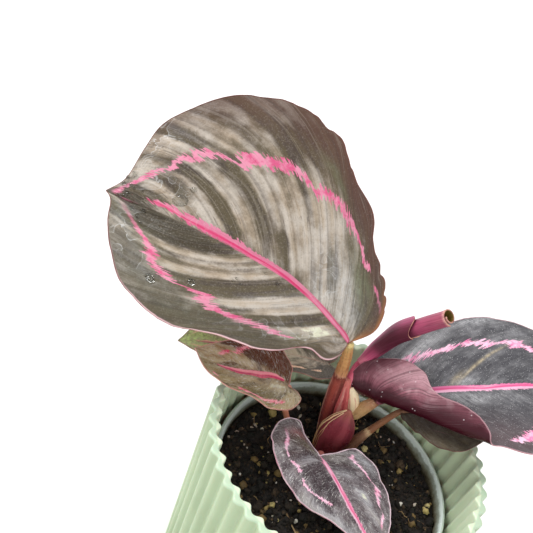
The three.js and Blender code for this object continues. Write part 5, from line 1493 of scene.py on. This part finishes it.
NURSERY_PROFILE = [
    (0, NURSERY_FLOOR, 0), (NURSERY_FOOT, NURSERY_FLOOR, 0.8), (43.4, 72.8, 0.3), (44.6, 73.2, 0.3),
    (44.9, 75.6, 0.5), (44.3, 76.6, 0.5), (43.4, 76.6, 0.5), (42.8, 75.2, 0.4),
    (inside_nursery(SOIL_TOP), SOIL_TOP, 0.3),
    (inside_nursery(NURSERY_INSIDE_FLOOR), NURSERY_INSIDE_FLOOR, 0.6), (0, NURSERY_INSIDE_FLOOR, 0)]


def nursery_skin():
    """Clear plastic that gets darker down to the soil. Heights are in metres."""
    g = Nodes("nursery_pot_clear")
    place = g.place()
    cloud = g.noise(place, 60.0, 3.0, 0.6)
    _, _, z = g.split(place)
    haze = g.step(g.noise(place, 240.0, 3.0, 0.7), 0.5, 0.75)
    colour = g.mix(srgb(226, 242, 236), srgb(244, 253, 249), cloud)
    level_noise = g.noise(place, 420.0, 4.0, 0.7)
    level = g.add(z, g.mul(g.sub(g.blend(level_noise, 0.5, cloud, 0.5), 0.5), 0.006))
    for tone, high, low, amount in (
            ((150, 156, 138), 0.0756, 0.0745, 0.8), ((124, 118, 96), 0.0743, 0.0724, 0.9),
            ((62, 52, 36), 0.0728, 0.0712, 0.85)):
        colour = g.mix(colour, srgb(*tone), g.step(level, high, low, 0.0, amount))
    return g.finish(colour, g.add(0.16, g.mul(haze, 0.15)), g.bump(cloud, 0.05, 0.0005),
                    Transmission_Weight=0.15, IOR=1.48)


turned_piece("cover_pot", dense(rounded(COVER_PROFILE, 7), 12.0), 960, cover_skin(), ribs)
turned_piece("nursery_pot", dense(rounded(NURSERY_PROFILE, 5), 5.0), 240, nursery_skin())


# Soil

def soil_height(x, y):
    lumps = np.sin(0.62 * x + 1.3) * np.sin(0.71 * y + 0.4) + 0.6 * np.sin(0.33 * x - 0.47 * y + 2)
    crumb = 1.1 * fractal(x * 0.28, y * 0.28, 61, 3) + 0.55 * fractal(x * 0.9 + 9, y * 0.9, 65, 3)
    return SOIL_TOP + 0.9 * lumps / 1.6 + crumb


def soil_skin():
    g = Nodes("soil_peat")
    place = g.place()
    crumb = g.noise(place, 420.0, 5.0, 0.7)
    cloud = g.noise(place, 60.0, 3.0, 0.6)
    bit = g.split(g.cells(place, 700.0, out="Color"))[0]
    fibre = g.noise(place, 500.0, 3.0, 0.6, distortion=1.5)
    colour = g.mix(srgb(24, 19, 16), srgb(58, 46, 36), g.step(crumb, 0.42, 0.72))
    colour = g.wash(colour, srgb(82, 64, 44), g.step(bit, 0.86, 0.97), 0.7)
    colour = g.wash(colour, srgb(112, 92, 60), g.step(fibre, 0.66, 0.74), 0.5)
    colour = g.wash(colour, srgb(14, 12, 11), g.step(cloud, 0.5, 0.7), 0.5)
    rough = g.step(crumb, 0.3, 0.8, 0.55, 0.95)
    return g.finish(colour, rough, g.bump(g.blend(crumb, 1.0, fibre, 0.4), 0.9, 0.0012))


def soil_object(rings, spokes):
    """The peat: a lumpy top that sinks a little at the pot, a plain side and a flat bottom."""
    rim, foot = inside_nursery(SOIL_TOP) - SOIL_GAP, inside_nursery(SOIL_LOW) - SOIL_GAP
    turn = np.linspace(0, CIRCLE, spokes, endpoint=False)
    reach, angle = np.meshgrid(np.linspace(0, rim, rings), turn, indexing="ij")
    x, y = reach * np.cos(angle), reach * np.sin(angle)
    top = np.stack([x, y, soil_height(x, y) - 0.8 * smooth(reach, rim - 2.5, rim)], -1)
    skirt, centre = (np.stack([r * np.cos(turn), r * np.sin(turn), np.full(spokes, SOIL_LOW)], -1)[None]
                     for r in (foot, 0))
    points = np.concatenate([top, skirt, centre]).reshape(-1, 3)
    faces = grid_faces(rings + 2, spokes, wrap=True)
    return mend(mesh_object("soil_peat", points, faces, [soil_skin()]), POT_MERGE)


def lump(level):
    """A rounded stone of unit size as points and triangles."""
    bm = bmesh.new()
    bmesh.ops.create_icosphere(bm, subdivisions=level, radius=1.0)
    points = np.array([v.co[:] for v in bm.verts])
    triangles = np.array([[v.index for v in f.verts] for f in bm.faces])
    bm.free()
    return points, triangles


def random_turns(rng, count):
    """Rotation matrices from random quaternions."""
    q = rng.normal(size=(count, 4))
    q /= np.linalg.norm(q, axis=1, keepdims=True)
    w, i, j, k = q.T
    return np.stack([1 - 2 * (j * j + k * k), 2 * (i * j - k * w), 2 * (i * k + j * w),
                     2 * (i * j + k * w), 1 - 2 * (i * i + k * k), 2 * (j * k - i * w),
                     2 * (i * k - j * w), 2 * (j * k + i * w), 1 - 2 * (i * i + j * j)], -1).reshape(-1, 3, 3)


CRUMB_REACH = inside_nursery(SOIL_TOP) - 1.2
CRUMB_FLAT = 0.7             # height of a crumb as a share of its width
CRUMB_DENT = 0.22


def crumbs(name, count, smallest, largest, sink, level, material, seed):
    """Many small lumps lying on the soil, with a tone of their own."""
    rng = np.random.default_rng(seed)
    base, triangles = lump(level)
    radius = CRUMB_REACH * np.sqrt(rng.uniform(0, 1, count))
    turn = rng.uniform(0, CIRCLE, count)
    size = smallest + (largest - smallest) * rng.uniform(0, 1, count) ** 2.2
    x, y = radius * np.cos(turn), radius * np.sin(turn)
    scale = size[:, None] * rng.uniform(0.65, 1.3, (count, 3)) * np.array([1, 1, CRUMB_FLAT])
    turns = random_turns(rng, count)
    dent = 1 + CRUMB_DENT * rng.normal(size=(count, len(base), 1)).clip(-1.6, 1.6)
    body = np.einsum("nij,npj->npi", turns, base[None] * dent * scale[:, None, :])
    sunk = 0.8 * smooth(radius, CRUMB_REACH - 1.5, CRUMB_REACH + 0.8)
    body += np.stack([x, y, soil_height(x, y) - sunk + size * (1 - sink) * 0.6], -1)[:, None, :]
    tone = np.stack([rng.uniform(0, 1, count), rng.uniform(0, 1, count), size], -1)
    faces = (triangles[None] + (np.arange(count) * len(base))[:, None, None]).reshape(-1, 3)
    dress(mesh_object(name, body.reshape(-1, 3), faces, [material],
                      attributes={"tone": np.repeat(tone, len(base), axis=0)}), None, "soil")


def crumb_skin(name, stops, rough, scale, depth):
    g = Nodes(name)
    tone, _, _ = g.attribute("tone")
    place = g.place()
    spots = g.noise(place, scale, 4.0, 0.7)
    patch = g.noise(place, scale * 0.4, 3.0, 0.6)
    colour = g.ramp(g.add(g.mul(tone, 0.8), g.mul(g.sub(spots, 0.3), 0.5)), stops)
    colour = g.wash(colour, srgb(30, 24, 20), g.step(patch, 0.55, 0.7), 0.6)
    return g.finish(colour, rough, g.bump(g.blend(spots, 1.0, patch, 0.7), 0.8, depth))


dress(soil_object(110, 230), "soil", "soil")
peat_skin = crumb_skin("peat_crumb", [
    (0.0, 16, 13, 12), (0.5, 26, 21, 17), (0.78, 48, 38, 29), (0.91, 86, 68, 49), (0.97, 140, 114, 82),
    (1.0, 190, 160, 120)], 0.85, 900.0, 0.0006)
grain_skin = crumb_skin("grain_tan", [
    (0.0, 74, 58, 38), (0.45, 134, 108, 64), (0.75, 190, 168, 104), (1.0, 224, 210, 152)],
    0.7, 1400.0, 0.0003)
white_skin = crumb_skin("grain_white", [
    (0.0, 190, 160, 150), (0.5, 220, 206, 190), (1.0, 240, 236, 226)], 0.7, 1400.0, 0.0002)
crumbs("soil_crumbs_large", 900, 0.5, 1.7, 0.15, 2, peat_skin, 101)
crumbs("soil_crumbs_small", 3600, 0.3, 0.8, 0.1, 1, peat_skin, 102)
crumbs("soil_grains", 180, 0.4, 1.5, 0.1, 2, grain_skin, 103)
crumbs("soil_grains_pale", 80, 0.3, 0.95, 0.1, 2, white_skin, 104)


# Rootlets and a twig on the soil, and the crown in it

ROOTLETS, ROOTLET_REACH, ROOTLET_LIMIT = 26, 39, 40.5


def rootlet_routes(rng):
    """Short wandering lines on the soil, each with its thickness."""
    for _ in range(ROOTLETS):
        reach, turn = ROOTLET_REACH * math.sqrt(rng.uniform(0.02, 1)), rng.uniform(0, 2 * math.pi)
        at, heading = np.array([reach * math.cos(turn), reach * math.sin(turn)]), rng.uniform(0, 2 * math.pi)
        route = []
        for _ in range(int(rng.integers(5, 10))):
            if np.hypot(*at) > ROOTLET_LIMIT:
                break
            route.append((*at, float(soil_height(*at)) + rng.uniform(0.2, 0.9)))
            heading += rng.normal(0, 0.3)
            at = at + rng.uniform(0.8, 1.8) * np.array([math.cos(heading), math.sin(heading)])
        if len(route) >= 4:
            yield route, rng.uniform(0.07, 0.17)


def rootlets(name, material, seed):
    parts, offset = [], 0
    for route, thick in rootlet_routes(np.random.default_rng(seed)):
        points, faces, fields = sweep(route, [thick] * (len(route) - 1) + [thick * 0.4], 24, 6)
        parts.append((points, faces + offset, fields))
        offset += len(points)
    points, faces, fields = (np.concatenate(part) for part in zip(*parts))
    return mend(mesh_object(name, points, faces, [material], attributes={"limb": fields}))


def crown_relief(t, angle, length):
    coarse = 0.8 * fractal(t * 4 + 2, np.cos(angle) * 2 + 5, 71)
    return coarse + 0.4 * fractal(t * 10, np.sin(angle) * 4 + 9, 75)


TWIG = [(-12.5, -18.5), (-11, -21), (-8.2, -23.6), (-5.5, -27), (-3.6, -30.2), (-0.5, -33.2), (3.6, -35.8)]
twig_line = [(x, y, float(soil_height(x, y)) + 0.55 + 0.35 * (k % 2)) for k, (x, y) in enumerate(TWIG)]
fibre_skin = limb_material(
    "rootlet_skin", [(0.0, 120, 92, 60), (0.5, 190, 160, 116), (1.0, 150, 116, 80)], (92, 68, 46),
    (220, 196, 156), stripe=0.4)
crown_skin = limb_material(
    "crown_skin", [(0.0, 60, 40, 30), (1.0, 96, 60, 44)], (40, 28, 22), (140, 100, 70), wrinkle=0.8,
    gloss=0.8)
dress(rootlets("soil_rootlets", fibre_skin, 105), None, "soil")
dress(limb_object("soil_twig", twig_line, [0.18, 0.32, 0.3, 0.36, 0.3, 0.26, 0.1], fibre_skin, 120, 12,
                  wrinkles(0.0, 1.5, 0.04, 91, 5, 0.03)), None, "soil")
dress(limb_object("crown_lump", [(-4, 15, z) for z in (58, 62, 66, 70, 73.0)], [5, 10.5, 11.6, 10.6, 4.5],
                  crown_skin, 60, 90, crown_relief), "crown", "crown")


# Water drops on the leaves: (place along, place across, half size in millimetres), right side negative

def dew(name, grid, spots, material, seed):
    rng = np.random.default_rng(seed)
    rows, width = grid.shape[:2]
    ball, triangles = lump(3)
    points, faces = [], []
    for number, (place, across, radius) in enumerate(spots):
        i = int(np.clip(place * (rows - 1), 1, rows - 2))
        j = int(np.clip((across + 1) / 2 * (width - 1), 1, width - 2))
        along = grid[i + 1, j] - grid[i - 1, j]
        over = grid[i, j + 1] - grid[i, j - 1]
        normal = np.cross(along, over)
        normal /= np.linalg.norm(normal)
        along = along / np.linalg.norm(along)
        over = np.cross(normal, along)
        high = 0.34 * radius + 0.12
        local = ball * [radius * rng.uniform(1.0, 1.3), radius * rng.uniform(0.8, 1.0), 1]
        local[:, 2] = np.where(ball[:, 2] > 0, ball[:, 2] * high, ball[:, 2] * 0.06)
        points.append(grid[i, j] + local[:, :1] * along + local[:, 1:2] * over + local[:, 2:] * normal)
        faces.append(triangles + number * len(ball))
    return mesh_object(name, np.concatenate(points), np.concatenate(faces), [material])


def water():
    g = Nodes("water")
    tone = g.noise(g.place(), 500.0, 2.0)
    return g.finish(g.mix(srgb(226, 228, 222), srgb(252, 252, 250), tone), 0.03,
                    Transmission_Weight=1.0, IOR=1.33)


water_skin = water()
dress(dew("main_leaf_drops", surfaces["main_leaf"], [
    (0.849, -0.221, 2.4), (0.819, -0.327, 1.1), (0.958, -0.749, 0.9), (0.968, 0.261, 0.7),
    (0.958, -0.352, 0.6), (0.943, -0.513, 0.6), (0.903, 0.322, 1.1), (0.881, 0.573, 0.8),
    (0.861, 0.583, 0.7), (0.943, -0.96, 0.8), (0.707, 0.784, 1.8), (0.675, 0.518, 1.4),
    (0.638, 0.226, 0.6), (0.638, 0.261, 0.5), (0.62, 0.251, 0.5), (0.382, 0.307, 0.9),
    (0.325, 0.347, 0.8), (0.96, -0.9, 0.7), (0.93, -0.86, 0.9), (0.965, -0.2, 0.8),
    (0.95, -0.7, 0.5), (0.928, -0.382, 0.6), (0.911, 0.573, 0.7), (0.556, 0.075, 0.7),
    (0.603, 0.05, 0.5), (0.417, 0.327, 0.6)], water_skin, 201), None, "blade")
dress(dew("left_leaf_drops", surfaces["left_leaf"], [
    (0.625, 0.362, 0.5), (0.757, 0.322, 0.5), (0.33, 0.513, 0.6), (0.481, 0.05, 0.4)], water_skin, 202),
    None, "blade_red")


# Floor, light and surroundings

FLOOR_HALF = 3
PLANT_MIDDLE = (0, 0, 0.09)

floor_mesh = bpy.data.meshes.new("floor")
floor_mesh.from_pydata([(x * FLOOR_HALF, y * FLOOR_HALF, 0) for x, y in ((-1, -1), (1, -1), (1, 1), (-1, 1))],
                       [], [(0, 1, 2, 3)])
floor = add_object("floor", floor_mesh)
paper = Nodes("floor_paper")
floor_mesh.materials.append(paper.finish(
    paper.mix((0.9, 0.9, 0.895), (0.93, 0.93, 0.925), paper.noise(paper.place(), 3.0)), 0.9))

world = bpy.data.worlds.new("studio")
world.use_nodes = True
world.node_tree.nodes["Background"].inputs[0].default_value = (1, 1, 1, 1)
world.node_tree.nodes["Background"].inputs[1].default_value = 1.0
bpy.context.scene.world = world
bpy.context.scene.view_settings.view_transform = "Standard"


def area_lamp(name, place, size, power):
    """A round white lamp that points at the middle of the plant."""
    data = bpy.data.lights.new(name, "AREA")
    data.shape = "DISK"
    data.size = size
    data.energy = power
    lamp = add_object(name, data)
    lamp.location = Vector(place)
    lamp.rotation_euler = (Vector(PLANT_MIDDLE) - Vector(place)).to_track_quat("-Z", "Y").to_euler()


area_lamp("key", (-0.75, 0.15, 0.8), 0.45, 6.5)
area_lamp("fill", (0.4, -0.7, 0.6), 0.7, 1.5)
